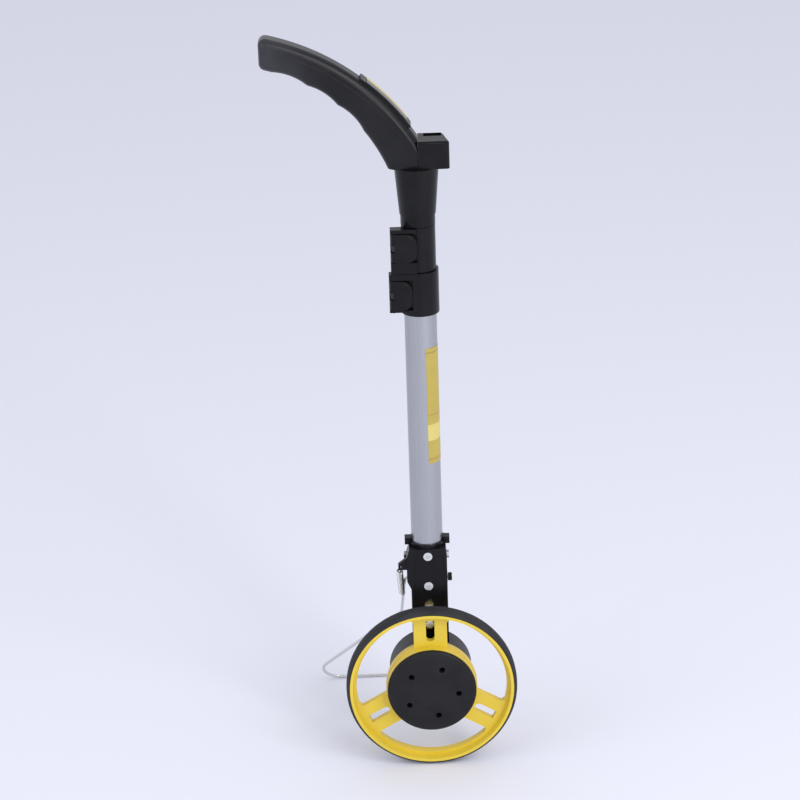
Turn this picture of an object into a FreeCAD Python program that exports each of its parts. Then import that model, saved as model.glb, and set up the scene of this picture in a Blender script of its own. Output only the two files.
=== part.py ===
import FreeCAD, Part
import math
import os
import re
import Sketcher

# Telescopic measuring wheel, millimetres, +Z up. Every sub-part is drawn about the centre of the
# wheel's front face (X to the grip's far side, Y along the axle to the back, Z up), and its
# Placement then sets that centre over the middle of the floor area that the whole tool covers.

Vector = FreeCAD.Vector
document = FreeCAD.newDocument("MeasuringWheel")
sizes = document.addObject("Spreadsheet::Sheet", "Sizes")

driving = {
    # wheel
    "tyre_radius": 79.6,
    "tyre_thickness": 3.3,
    "tyre_shoulder": 1.8,
    "wheel_width": 18.0,
    "rim_lip": 2.7,
    "rim_back": 5.1,
    "web_front": 8.0,
    "web_back": 14.0,
    "spoke_width": 31.0,
    "spoke_slot_width": 8.0,
    "spoke_slot_start": 50.0,
    "spoke_slot_end": 67.0,
    "window_fillet": 3.5,
    "hub_radius": 41.8,
    "hub_wall": 2.0,
    "hub_back": 17.6,
    "boss_radius": 8.6,
    "boss_front": 3.0,
    "boss_back": 21.4,
    "bush_bore": 4.06,
    "bush_radius": 6.4,
    "bush_length": 5.0,
    "cover_radius": 41.2,
    "cover_proud": 6.2,
    "cover_edge": 1.4,
    "cover_hole_radius": 2.5,
    "cover_hole_circle": 24.8,
    "cover_hole_first": 67.0,
    "cover_hole_count": 5.0,
    "cover_well_radius": 4.0,
    "cover_seat": 4.0,
    "cover_screw_head": 2.3,
    "cover_screw_shank": 1.1,
    # axle and its fittings
    "axle_radius": 4.0,
    "axle_front": 1.4,
    "axle_back": 66.6,
    "clip_front": 2.0,
    "clip_thickness": 0.8,
    "clip_radius": 5.6,
    "washer_radius": 7.6,
    "nut_flats": 13.0,
    "nut_height": 3.4,
    # counter
    "drum_radius": 38.5,
    "drum_wall": 2.2,
    "drum_front": 22.6,
    "drum_back": 50.0,
    "counter_distance": 19.5,
    "counter_angle": 190.0,
    "counter_shaft_radius": 1.5,
    "digit_radius": 12.4,
    "digit_bore": 1.57,
    "digit_width": 3.3,
    "digit_pitch": 3.6,
    "digit_count": 5.0,
    "gear_front": 25.4,
    "gear_width": 3.6,
    "gear_module": 0.65,
    "pinion_teeth": 20.0,
    "gear_teeth": 40.0,
    "carry_radius": 3.0,
    "carry_width": 2.8,
    "carry_distance": 15.9,
    "carry_angle": 110.0,
    "window_length": 22.0,
    "window_angle": 24.0,
    "window_thickness": 1.2,
    "reset_radius": 4.5,
    "reset_travel": 2.5,
    "reset_side": 17.0,
    # bracket
    "pole_depth": 45.0,
    "bracket_front": 28.0,
    "bracket_back": 63.0,
    "bracket_half_width": 17.6,
    "bracket_left": 19.6,
    "bracket_low_left": 15.8,
    "bracket_wide_low": 90.0,
    "bracket_wide_high": 124.5,
    "bracket_top": 130.8,
    "bracket_low": 20.0,
    "collar_radius": 16.2,
    "collar_low": 124.0,
    "collar_top": 134.2,
    "ear_reach": 20.7,
    "ear_low": 130.3,
    "ear_high": 137.0,
    "ear_half_depth": 4.0,
    "tongue_half_width": 11.0,
    "tongue_thickness": 12.0,
    "neck_half_width": 10.0,
    "split_gap": 0.2,
    "screw_head_radius": 4.1,
    "screw_head_height": 2.2,
    "screw_radius": 1.7,
    "screw_pilot": 1.8,
    "screw_end": 48.0,
    "screw_top": 124.2,
    "screw_second": 94.1,
    "screw_third": 74.7,
    "screw_fourth": 54.4,
    "bolt_height": 117.8,
    "bolt_radius": 2.0,
    # telescopic pole
    "outer_radius": 14.5,
    "tube_wall": 1.2,
    "middle_radius": 13.0,
    "inner_radius": 11.5,
    "outer_bottom": 106.0,
    "outer_top": 397.8,
    "middle_bottom": 131.0,
    "middle_top": 439.5,
    "inner_bottom": 147.0,
    "inner_top": 491.5,
    "bush_height": 14.0,
    "label_low": 215.3,
    "label_high": 327.2,
    "label_thickness": 0.25,
    "label_start": -76.0,
    "label_sweep": 100.0,
    # flip-lever clamps
    "lower_clamp_bottom": 359.1,
    "lower_clamp_top": 399.3,
    "lower_clamp_radius": 17.2,
    "lower_clamp_reach": 27.3,
    "lower_lever_low": 366.1,
    "lower_lever_high": 393.3,
    "lower_lever_end": -6.9,
    "upper_clamp_bottom": 399.7,
    "upper_clamp_top": 441.0,
    "upper_clamp_radius": 15.2,
    "upper_clamp_reach": 25.1,
    "upper_lever_low": 410.6,
    "upper_lever_high": 437.0,
    "upper_lever_end": -1.7,
    "clamp_front": 27.6,
    "clamp_cheek_back": 37.0,
    "clamp_rear": 53.0,
    "clamp_ear_half": 9.0,
    "lower_cheek_bottom": 363.8,
    "upper_cheek_bottom": 399.7,
    "clamp_slit": 1.2,
    "lever_front": 26.4,
    "lever_back": 31.4,
    "lever_gap": 0.5,
    "lever_corner": 9.0,
    "knuckle_radius": 3.4,
    "knuckle_gap": 8.0,
    "pin_radius": 1.5,
    "eye_radius": 2.6,
    "lever_skin": 1.0,
    # handle
    "socket_bottom": 441.5,
    "socket_step": 451.0,
    "socket_top": 494.8,
    "socket_bottom_radius": 15.4,
    "socket_step_radius": 16.1,
    "socket_top_radius": 19.7,
    "rivet_rise": 14.0,
    "rivet_radius": 1.6,
    "block_left": 1.8,
    "block_right": 29.6,
    "block_top": 519.6,
    "block_half_depth": 14.5,
    "block_corner": 3.0,
    "block_chamfer": 1.4,
    "block_screw_radius": 1.6,
    "block_back_right": 24.0,
    "pocket_left": 7.0,
    "pocket_right": 22.6,
    "pocket_front": 48.8,
    "pocket_back": 57.5,
    "pocket_depth": 16.0,
    "grip_centre_x": -176.4,
    "grip_centre_z": 411.3,
    "palm_centre_x": -169.8,
    "palm_centre_z": 435.2,
    "grip_outer": 208.8,
    "grip_inner": 156.5,
    "grip_reach": 132.9,
    "grip_right": 1.4,
    "grip_half_width": 13.0,
    "grip_rounding": 7.5,
    "grip_end_radius": 6.0,
    "grip_wall": 3.4,
    "groove_radius": 50.0,
    "groove_depth": 2.0,
    "groove_first": 43.1,
    "groove_step": 11.5,
    "groove_count": 3.0,
    "grip_screw_circle": 194.0,
    "grip_screw_first": 36.0,
    "grip_screw_step": 17.0,
    "grip_screw_count": 3.0,
    "grip_screw_radius": 1.6,
    "grip_screw_sink": 2.4,
    "grip_post_radius": 4.0,
    "panel_start": 35.0,
    "panel_sweep": 16.6,
    "panel_rise": 2.0,
    "panel_half_width": 9.0,
    "plate_margin": 1.8,
    "plate_thickness": 0.6,
    "plate_inset": 1.6,
    "panel_seat": 2.3,
    # folding stand
    "wire_radius": 1.5,
    "hinge_depth": 52.0,
    "hinge_height": 90.8,
    "stand_foot_depth": 178.0,
    "stand_leg_top": -21.7,
    "stand_leg_bend": -25.3,
    "stand_bend_along": 70.0,
    "stand_corner": -122.9,
    "stand_corner_radius": 20.0,
    "stand_foot_end": 35.0,
    "stand_bend_radius": 9.0,
    "stand_top_radius": 2.2,
    "hinge_end": 21.9,
    "boss_half_width": 18.2,
    "hinge_boss": 5.2,
    "cap_radius": 3.85,
    "lug_reach": 27.5,
    "lug_low": 109.3,
    "lug_high": 121.9,
    "lug_front": 30.4,
    "lug_back": 34.6,
    "lug_tip": 5.6,
    "eye_inset": 2.4,
    "spring_beside": 2.9,
    "spring_before": 4.9,
    "spring_top_inset": 1.0,
    "spring_hook": 3.0,
    "spring_radius": 3.1,
    "spring_anchor_along": 24.0,
}


def prefixed(text):
    # every size's name has an underscore in it, so it can be found in an expression
    return re.sub(r"\b[a-z]+(?:_[a-z]+)+\b", r"Sizes.\g<0>", str(text))


def number(text):
    return float(sizes.evalExpression(prefixed(text)))


def bind(thing, **expressions):
    for name, text in expressions.items():
        thing.setExpression(name.replace("__", "."), prefixed(text))


def put(thing, x=0, y=0, z=0):
    bind(thing, Placement__Base__x=x, Placement__Base__y=y, Placement__Base__z=z)
    return thing


for row, (alias, value) in enumerate(driving.items(), start=1):
    sizes.set(f"A{row}", alias)
    sizes.set(f"B{row}", str(value))
    sizes.setAlias(f"B{row}", alias)
document.recompute()

turns = {
    "x": FreeCAD.Rotation(Vector(0, 1, 0), 90),
    "y": FreeCAD.Rotation(Vector(1, 0, 0), -90),
    "z": FreeCAD.Rotation(),
}
upright = FreeCAD.Rotation(Vector(1, 0, 0), 90)  # a cylinder's sector then opens in X-Z, towards -Y
node_names = []


def finish(thing, node):
    # the sub-part takes its node's name and moves to its place over the floor
    if thing.TypeId == "Part::Cylinder":
        holder = document.addObject("Part::Compound", thing.Name + "Piece")
        holder.Links = [thing]
        thing = holder
    thing.Label = node
    put(
        thing,
        "(grip_reach - tyre_radius) / 2",
        "(cover_proud - stand_foot_depth - wire_radius) / 2",
        "tyre_radius",
    )
    node_names.append((node, thing))
    return thing


def rod(name, axis, radius, length, x=0, y=0, z=0):
    cylinder = document.addObject("Part::Cylinder", name)
    cylinder.Placement = FreeCAD.Placement(Vector(), turns[axis])
    bind(cylinder, Radius=radius, Height=length)
    return put(cylinder, x, y, z)


def cone(name, low_radius, high_radius, height, x=0, y=0, z=0):
    solid = document.addObject("Part::Cone", name)
    bind(solid, Radius1=low_radius, Radius2=high_radius, Height=height)
    return put(solid, x, y, z)


def box(name, low, high):
    solid = document.addObject("Part::Box", name)
    spans = [f"({b}) - ({a})" for a, b in zip(low, high)]
    bind(solid, Length=spans[0], Width=spans[1], Height=spans[2])
    return put(solid, *low)


def fuse(name, *shapes):
    joined = document.addObject("Part::MultiFuse", name)
    joined.Shapes = list(shapes)
    return joined


def cut(name, base, *tools):
    result = document.addObject("Part::Cut", name)
    result.Base = base
    result.Tool = tools[0] if len(tools) == 1 else fuse(name + "Tools", *tools)
    return result


def common(name, first, second):
    overlap = document.addObject("Part::Common", name)
    overlap.Base = first
    overlap.Tool = second
    return overlap


def tube(name, axis, outer, inner, length, x=0, y=0, z=0):
    return cut(
        name,
        rod(name + "Outside", axis, outer, length, x, y, z),
        rod(name + "Inside", axis, inner, length, x, y, z),
    )


def rounded(name, base, radius, chosen):
    # a fillet on the edges that the test chooses
    document.recompute()
    edges = [i for i, edge in enumerate(base.Shape.Edges, start=1) if chosen(edge)]
    fillet = document.addObject("Part::Fillet", name)
    fillet.Base = base
    fillet.Edges = [(i, number(radius), number(radius)) for i in edges]
    return fillet


def along(edge, axis):
    # true for a straight edge that runs along the axis
    if not isinstance(edge.Curve, Part.Line):
        return False
    return abs(abs(edge.Curve.Direction.dot(axis)) - 1) < 1e-6


def polar(distance, angle, centre_x="0", centre_z="0"):
    # expressions for a point at a distance and an angle in the X-Z plane
    return (
        f"({centre_x}) + ({distance}) * cos(({angle}) * 1deg)",
        f"({centre_z}) + ({distance}) * sin(({angle}) * 1deg)",
    )


def new_body(name):
    return document.addObject("PartDesign::Body", name)


def plane_of(body, role):
    return next(item for item in body.Origin.OriginFeatures if item.Role == role)


def outline(body, name, role, points, offset="0"):
    # a closed sketch whose every corner is held by two bound distances
    sketch = body.newObject("Sketcher::SketchObject", name)
    sketch.AttachmentSupport = [(plane_of(body, role), "")]
    sketch.MapMode = "FlatFace"
    bind(sketch, AttachmentOffset__Base__z=offset)
    corners = [Vector(number(u), number(v), 0) for u, v in points]
    for i, corner in enumerate(corners):
        sketch.addGeometry(Part.LineSegment(corner, corners[(i + 1) % len(corners)]), False)
    for i in range(len(corners)):
        sketch.addConstraint(Sketcher.Constraint("Coincident", i, 2, (i + 1) % len(corners), 1))
    for i, (u, v) in enumerate(points):
        for kind, text, at in (("DistanceX", u, corners[i].x), ("DistanceY", v, corners[i].y)):
            held = sketch.addConstraint(Sketcher.Constraint(kind, -1, 1, i, 1, at))
            sketch.setExpression(f"Constraints[{held}]", prefixed(text))
    return sketch


def circle(body, name, role, radius, u, v, offset="0"):
    sketch = body.newObject("Sketcher::SketchObject", name)
    sketch.AttachmentSupport = [(plane_of(body, role), "")]
    sketch.MapMode = "FlatFace"
    bind(sketch, AttachmentOffset__Base__z=offset)
    middle = Vector(number(u), number(v), 0)
    sketch.addGeometry(Part.Circle(middle, Vector(0, 0, 1), number(radius)), False)
    for kind, text, at in (("DistanceX", u, middle.x), ("DistanceY", v, middle.y)):
        held = sketch.addConstraint(Sketcher.Constraint(kind, -1, 1, 0, 3, at))
        sketch.setExpression(f"Constraints[{held}]", prefixed(text))
    held = sketch.addConstraint(Sketcher.Constraint("Radius", 0, number(radius)))
    sketch.setExpression(f"Constraints[{held}]", prefixed(radius))
    return sketch


def turned(name, profile):
    # a body turned about the axle: each point is a radius and a depth along the axle
    body = new_body(name)
    sketch = outline(body, name + "Profile", "XY_Plane", profile)
    revolution = body.newObject("PartDesign::Revolution", name + "Turned")
    revolution.Profile = sketch
    revolution.ReferenceAxis = (sketch, ["V_Axis"])
    revolution.Angle = 360
    return body


def slab(name, points, front, back):
    # a body of one outline in the X-Z plane, solid from the front depth to the back one
    body = new_body(name)
    pad = body.newObject("PartDesign::Pad", name + "Pad")
    pad.Profile = outline(body, name + "Outline", "XZ_Plane", points, f"-({back})")
    bind(pad, Length=f"({back}) - ({front})")
    return body


def pocket(body, name, sketch, depth):
    document.recompute()
    before = body.Shape.Volume
    removed = body.newObject("PartDesign::Pocket", name)
    removed.Profile = sketch
    bind(removed, Length=depth)
    document.recompute()
    if body.Shape.Volume >= before - 1e-6:
        raise RuntimeError(f"{name} cuts nothing")
    return removed


def repeated(body, feature, count, name):
    # the feature repeated evenly round the axle
    pattern = body.newObject("PartDesign::PolarPattern", name)
    pattern.Originals = [feature]
    pattern.Axis = (feature.Profile[0], ["N_Axis"])
    pattern.Angle = 360
    pattern.Occurrences = int(number(count))
    body.Tip = pattern
    return pattern


def group(node, solids):
    # equal fasteners that share one node as separate solids
    together = document.addObject("Part::Compound", node.title().replace("_", ""))
    together.Links = solids
    return finish(together, node)


# ---- wheel -----------------------------------------------------------------------------------

rim_radius = "(tyre_radius - tyre_thickness)"
finish(
    turned(
        "Tyre",
        [
            (rim_radius, "0"),
            ("tyre_radius - tyre_shoulder", "0"),
            ("tyre_radius - 0.5", "tyre_shoulder"),
            ("tyre_radius", "wheel_width / 2 - 3"),
            ("tyre_radius", "wheel_width / 2 + 3"),
            ("tyre_radius - 0.5", "wheel_width - tyre_shoulder"),
            ("tyre_radius - tyre_shoulder", "wheel_width"),
            (rim_radius, "wheel_width"),
        ],
    ),
    "tyre",
)


def make_wheel_rim():
    hub_inside = "hub_radius - hub_wall"
    wheel = turned(
        "WheelRim",
        [
            (rim_radius, "0"),
            (rim_radius, "wheel_width"),
            (f"{rim_radius} - rim_back", "wheel_width"),
            (f"{rim_radius} - rim_back + 0.9", "web_back"),
            ("hub_radius", "web_back"),
            ("hub_radius", "hub_back"),
            (hub_inside, "hub_back"),
            (hub_inside, "web_back"),
            ("boss_radius", "web_back"),
            ("boss_radius", "boss_back"),
            ("bush_radius", "boss_back"),
            ("bush_radius", "boss_front"),
            ("boss_radius", "boss_front"),
            ("boss_radius", "web_front"),
            (hub_inside, "web_front"),
            (hub_inside, "0"),
            ("hub_radius", "0"),
            ("hub_radius", "web_front"),
            (f"{rim_radius} - rim_lip - 0.8", "web_front"),
            (f"{rim_radius} - rim_lip", "0"),
        ],
    )
    # the three openings between the spokes; one lies at the bottom, so a spoke points up
    side = "spoke_width / 2"
    outer = f"({rim_radius} - rim_back - 1.2)"
    near = f"sqrt((hub_radius + 0.6) ^ 2 - ({side}) ^ 2)"
    far = f"sqrt({outer} ^ 2 - ({side}) ^ 2)"
    low, high = 210, 330
    window = wheel.newObject("Sketcher::SketchObject", "WindowOutline")
    window.AttachmentSupport = [(plane_of(wheel, "XZ_Plane"), "")]
    window.MapMode = "FlatFace"

    def corner(distance, angle, offset_sign):
        ray = math.radians(angle)
        reach = number(distance)
        off = offset_sign * number(side)
        return Vector(
            reach * math.cos(ray) - off * math.sin(ray),
            reach * math.sin(ray) + off * math.cos(ray),
            0,
        )

    inner_a, inner_b = corner(near, low, 1), corner(near, high, -1)
    outer_a, outer_b = corner(far, low, 1), corner(far, high, -1)
    inner_middle = Vector(0, -number("hub_radius + 0.6"), 0)
    outer_middle = Vector(0, -number(outer), 0)
    window.addGeometry(Part.LineSegment(inner_a, outer_a), False)
    window.addGeometry(Part.Arc(outer_a, outer_middle, outer_b), False)
    window.addGeometry(Part.LineSegment(outer_b, inner_b), False)
    window.addGeometry(Part.Arc(inner_b, inner_middle, inner_a), False)
    document.recompute()
    opening = pocket(wheel, "Window", window, "wheel_width")
    repeated(wheel, opening, "3", "Windows")
    # the long slot in the middle of each spoke, round at its hub end
    slot = outline(
        wheel,
        "SlotOutline",
        "XZ_Plane",
        [
            ("-spoke_slot_width / 2", "spoke_slot_start"),
            ("spoke_slot_width / 2", "spoke_slot_start"),
            ("spoke_slot_width / 2", "spoke_slot_end"),
            ("-spoke_slot_width / 2", "spoke_slot_end"),
        ],
    )
    repeated(wheel, pocket(wheel, "Slot", slot, "wheel_width"), "3", "Slots")
    eye = circle(wheel, "SlotEnd", "XZ_Plane", "spoke_slot_width / 2", "0", "spoke_slot_start")
    repeated(wheel, pocket(wheel, "SlotRound", eye, "wheel_width"), "3", "SlotRounds")
    x, z = polar("cover_hole_circle", "cover_hole_first")
    pilot = circle(wheel, "PilotHole", "XZ_Plane", "cover_screw_shank + 0.1", x, z)
    pilots = pocket(wheel, "Pilot", pilot, "wheel_width")
    repeated(wheel, pilots, "cover_hole_count", "Pilots")
    document.recompute()
    # soft corners where a spoke runs into the rim
    reach = number(outer)
    corners = [
        f"Edge{i}"
        for i, edge in enumerate(wheel.Shape.Edges, start=1)
        if along(edge, Vector(0, 1, 0))
        and abs(math.hypot(edge.CenterOfMass.x, edge.CenterOfMass.z) - reach) < 0.5
    ]
    spoked = wheel.Tip
    fillet = wheel.newObject("PartDesign::Fillet", "WindowCorners")
    fillet.Base = (spoked, corners)
    bind(fillet, Radius="window_fillet")
    wheel.Tip = fillet
    finish(wheel, "wheel_rim")


make_wheel_rim()


def hub_cover_places():
    return [
        polar("cover_hole_circle", f"cover_hole_first + 360 * {i} / cover_hole_count")
        for i in range(int(number("cover_hole_count")))
    ]


def make_hub_cover():
    disc = turned(
        "HubCoverDisc",
        [
            ("0", "-cover_proud"),
            ("cover_radius * 0.72", "-cover_proud + 0.2"),
            ("cover_radius - 2", "-cover_edge - 0.9"),
            ("cover_radius", "-cover_edge"),
            ("cover_radius", "0"),
            ("hub_radius - hub_wall - 0.2", "0"),
            ("hub_radius - hub_wall - 0.2", "2"),
            ("hub_radius - hub_wall - 1.8", "2"),
            ("hub_radius - hub_wall - 1.8", "0"),
            ("0", "0"),
        ],
    )
    wells = []
    holes = []
    for i, (x, z) in enumerate(hub_cover_places()):
        wells.append(rod(f"CoverWell{i}", "y", "cover_well_radius", "web_front + 0.5", x, -0.5, z))
        holes.append(
            rod(f"CoverHole{i}", "y", "cover_hole_radius", "cover_proud + cover_seat", x, "-cover_proud", z)
        )
        holes.append(rod(f"CoverBore{i}", "y", "cover_screw_shank + 0.2", "web_front", x, 0.1, z))
    finish(cut("HubCover", fuse("CoverWithWells", disc, *wells), *holes), "hub_cover")


make_hub_cover()

screws = []
for i, (x, z) in enumerate(hub_cover_places()):
    head = rod(f"CoverHead{i}", "y", "cover_screw_head", 1.8, x, "cover_seat - 1.8", z)
    shank = rod(
        f"CoverShank{i}", "y", "cover_screw_shank", "web_back - cover_seat - 0.5", x, "cover_seat", z
    )
    recess = box(
        f"CoverDrive{i}", (f"{x} - 1.5", 0, f"{z} - 0.35"), (f"{x} + 1.5", "cover_seat - 0.9", f"{z} + 0.35")
    )
    screws.append(cut(f"CoverScrew{i}", fuse(f"CoverBlank{i}", head, shank), recess))
group("hub_cover_screws", screws)

finish(tube("FrontBush", "y", "bush_radius", "bush_bore", "bush_length", 0, "boss_front", 0), "front_bush")
finish(
    tube("RearBush", "y", "bush_radius", "bush_bore", "bush_length", 0, "boss_back - bush_length", 0),
    "rear_bush",
)


def gear_outline(teeth, pitch_radius, first_angle):
    # straight-flanked teeth, thinner than their gaps, with a tooth centred on the first angle
    module = number("gear_module")
    tip, root = pitch_radius + 0.75 * module, pitch_radius - 0.95 * module
    pitch_angle = 2 * math.pi / teeth
    points = []
    for i in range(teeth):
        middle = math.radians(first_angle) + i * pitch_angle
        for radius, share in ((root, -0.30), (tip, -0.12), (tip, 0.12), (root, 0.30)):
            angle = middle + share * pitch_angle
            points.append(Vector(radius * math.cos(angle), 0, radius * math.sin(angle)))
    return Part.makePolygon(points + points[:1])


def gear_solid(teeth, first_angle, bore, front, width):
    pitch_radius = teeth * number("gear_module") / 2
    face = Part.Face(gear_outline(teeth, pitch_radius, first_angle))
    blank = face.extrude(Vector(0, width, 0))
    blank.translate(Vector(0, front, 0))
    hole = Part.makeCylinder(bore, width, Vector(0, front, 0), Vector(0, 1, 0))
    return blank.cut(hole)


def feature(name, node, solid):
    piece = document.addObject("Part::Feature", name)
    piece.Shape = Part.Compound([solid])
    return finish(piece, node)


def make_drive_pinion():
    # the pinion's spigot is pressed into the wheel's boss behind the rear bush
    front, width = number("gear_front"), number("gear_width")
    teeth = gear_solid(
        int(number("pinion_teeth")), number("counter_angle"), number("axle_radius + 0.15"), front, width
    )
    collar = Part.makeCylinder(
        number("bush_radius - 0.6"),
        front - number("boss_back"),
        Vector(0, number("boss_back"), 0),
        Vector(0, 1, 0),
    ).cut(
        Part.makeCylinder(number("axle_radius + 0.15"), front, Vector(0, 0, 0), Vector(0, 1, 0))
    )
    feature("DrivePinion", "drive_pinion", teeth.fuse(collar).removeSplitter())


make_drive_pinion()

# ---- axle and its fittings ---------------------------------------------------------------------


def make_axle():
    shaft = rod("AxleShaft", "y", "axle_radius", "axle_back - axle_front", 0, "axle_front", 0)
    groove = tube(
        "AxleGroove", "y", "axle_radius + 1", "axle_radius - 0.6", "clip_thickness", 0, "clip_front", 0
    )
    finish(cut("Axle", shaft, groove), "axle")


make_axle()


def make_axle_clip():
    ring = tube("ClipRing", "y", "clip_radius", "axle_radius - 0.6", "clip_thickness", 0, "clip_front", 0)
    mouth = box("ClipMouth", (-2.2, 0, -8), (2.2, 9, 0))
    finish(cut("AxleClip", ring, mouth), "axle_clip")


make_axle_clip()


def hexagon(name, flats, bore, height, y, x=0, z=0):
    prism = document.addObject("Part::Prism", name + "Prism")
    prism.Polygon = 6
    prism.Placement = FreeCAD.Placement(Vector(), turns["y"])
    bind(prism, Circumradius=f"({flats}) / sqrt(3)", Height=height)
    put(prism, x, y, z)
    return cut(name, prism, rod(name + "Bore", "y", bore, height, x, y, z))


finish(hexagon("AxleNut", "nut_flats", "axle_radius", "nut_height", "bracket_back"), "axle_nut")
finish(
    tube(
        "Spacer", "y", "washer_radius", "axle_radius",
        "bracket_back - tongue_thickness - drum_back - 0.1", 0, "drum_back + 0.05", 0,
    ),
    "spacer_washer",
)

# ---- counter -------------------------------------------------------------------------------------

counter_x, counter_z = polar("counter_distance", "counter_angle")
carry_x, carry_z = polar("carry_distance", "carry_angle", counter_x, counter_z)
reset_x, reset_z = "reset_side", "-reset_side * 0.6"
drum_inside = "(drum_radius - drum_wall)"
cover_front = "(drum_back - drum_wall)"


def sector(name, outer, inner, length, y, start, sweep, x=0, z=0):
    # a curved plate about an axis along Y, from the start angle through the sweep in X-Z
    plates = []
    for part, radius in (("Outside", outer), ("Inside", inner)):
        wedge = document.addObject("Part::Cylinder", name + part)
        wedge.Placement = FreeCAD.Placement(
            Vector(), upright.multiply(FreeCAD.Rotation(Vector(0, 0, 1), number(start)))
        )
        bind(wedge, Radius=radius, Height=length, Angle=sweep)
        plates.append(put(wedge, x, f"({y}) + ({length})", z))
    return cut(name, *plates)


window_start = "(counter_angle - window_angle / 2)"


def make_counter_housing():
    shell = turned(
        "DrumShell",
        [
            ("washer_radius + 2", "drum_front"),
            ("drum_radius - 1.5", "drum_front"),
            ("drum_radius", "drum_front + 1.5"),
            ("drum_radius", "drum_back"),
            (drum_inside, "drum_back"),
            (drum_inside, "drum_front + drum_wall"),
            ("washer_radius + 2", "drum_front + drum_wall"),
        ],
    )
    neck = box(
        "DrumNeck",
        ("-neck_half_width", "pole_depth - 8", "drum_radius - 1"),
        ("neck_half_width", "pole_depth + 3", "screw_third - 8"),
    )
    window = sector(
        "WindowHole", "drum_radius + 1", "drum_radius - 4", "window_length",
        "gear_front + gear_width + 0.3", window_start, "window_angle",
    )
    fourth = rod("NeckHole", "y", "screw_pilot", 30, 0, "bracket_front", "screw_fourth")
    sockets = [
        rod(
            "CounterSocket", "y", "counter_shaft_radius", 1.2,
            counter_x, "drum_front + drum_wall - 1.2", counter_z,
        ),
        rod(
            "CarrySocket", "y", "counter_shaft_radius", 1.2, carry_x, "drum_front + drum_wall - 1.2", carry_z
        ),
    ]
    finish(
        cut("CounterHousing", fuse("DrumAndNeck", shell, neck), window, fourth, *sockets),
        "counter_housing",
    )


make_counter_housing()

cover_screw_places = [polar("drum_radius - 6", angle) for angle in (40, 140, 235, 305)]


def make_counter_cover():
    plate = rod("CoverPlate", "y", f"{drum_inside} - 0.1", "drum_wall", 0, cover_front, 0)
    posts = [
        rod(f"CoverPost{i}", "y", 2.6, 6, x, f"{cover_front} - 6", z)
        for i, (x, z) in enumerate(cover_screw_places)
    ]
    holes = [rod("CoverCentre", "y", "axle_radius", 40, 0, 20, 0)]
    holes += [
        rod(f"CoverScrewHole{i}", "y", 1.2, 40, x, 20, z)
        for i, (x, z) in enumerate(cover_screw_places)
    ]
    holes.append(rod("ResetHole", "y", "reset_radius + 0.3", 40, reset_x, 20, reset_z))
    holes.append(rod("CounterSeat", "y", "counter_shaft_radius", 1.2, counter_x, cover_front, counter_z))
    holes.append(rod("CarrySeat", "y", "counter_shaft_radius", 1.2, carry_x, cover_front, carry_z))
    finish(cut("CounterCover", fuse("CoverBlank", plate, *posts), *holes), "counter_cover")


make_counter_cover()

screws = []
for i, (x, z) in enumerate(cover_screw_places):
    head = rod(f"DrumScrewHead{i}", "y", 2.2, 1.4, x, "drum_back", z)
    shank = rod(f"DrumScrewShank{i}", "y", 1.15, 7, x, "drum_back - 7", z)
    slot = box(
        f"DrumScrewSlot{i}",
        (f"{x} - 1.5", "drum_back + 0.7", f"{z} - 0.3"),
        (f"{x} + 1.5", "drum_back + 2", f"{z} + 0.3"),
    )
    screws.append(cut(f"DrumScrew{i}", fuse(f"DrumScrewBlank{i}", head, shank), slot))
group("counter_cover_screws", screws)

finish(
    sector(
        "CounterWindow", "drum_radius - 0.4", "drum_radius - 0.4 - window_thickness", "window_length",
        "gear_front + gear_width + 0.3", window_start, "window_angle",
    ),
    "counter_window",
)

for node, name, x, z in (
    ("counter_shaft", "CounterShaft", counter_x, counter_z),
    ("carry_shaft", "CarryShaft", carry_x, carry_z),
):
    start = "(drum_front + drum_wall - 1.2)"
    finish(rod(name, "y", "counter_shaft_radius", f"{cover_front} + 1.2 - {start}", x, start, z), node)


def make_digit_wheel(i):
    # the first digit wheel carries the big gear that the drive pinion turns
    front = number("gear_front + gear_width + 0.3") + i * number("digit_pitch")
    width = number("digit_width")
    bore = number("digit_bore")
    centre = Vector(number(counter_x), 0, number(counter_z))
    disc = Part.makeCylinder(number("digit_radius"), width, Vector(0, front, 0), Vector(0, 1, 0))
    disc = disc.cut(Part.makeCylinder(bore, width, Vector(0, front, 0), Vector(0, 1, 0)))
    if i == 0:
        teeth = int(number("gear_teeth"))
        first = number("counter_angle") + 180 + 180 / teeth
        gear = gear_solid(teeth, first, bore, number("gear_front"), number("gear_width"))
        neck_front = number("gear_front + gear_width")
        neck = Part.makeCylinder(6, front - neck_front, Vector(0, neck_front, 0), Vector(0, 1, 0))
        neck = neck.cut(Part.makeCylinder(bore, 5, Vector(0, neck_front, 0), Vector(0, 1, 0)))
        disc = disc.fuse([gear, neck]).removeSplitter()
    disc.translate(centre)
    feature(f"DigitWheel{i + 1}", f"digit_wheel_{i + 1}", disc)


for i in range(int(number("digit_count"))):
    make_digit_wheel(i)

for i in range(int(number("digit_count")) - 1):
    between = f"gear_front + gear_width + 0.3 + {i + 1} * digit_pitch"
    y = f"{between} - (digit_pitch - digit_width) / 2 - carry_width / 2"
    finish(
        tube(f"CarryPinion{i + 1}", "y", "carry_radius", "digit_bore", "carry_width", carry_x, y, carry_z),
        f"carry_pinion_{i + 1}",
    )


def make_reset_button():
    cap = rod(
        "ResetCap", "y", "reset_radius", "reset_travel + drum_wall + 1.5",
        reset_x, f"{cover_front} - 0.5", reset_z,
    )
    flange = rod("ResetFlange", "y", "reset_radius + 1.6", 1.2, reset_x, f"{cover_front} - 1.7", reset_z)
    stem = rod("ResetStem", "y", 1.6, 9, reset_x, f"{cover_front} - 10.7", reset_z)
    finish(fuse("ResetButton", cap, flange, stem), "reset_button")


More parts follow.
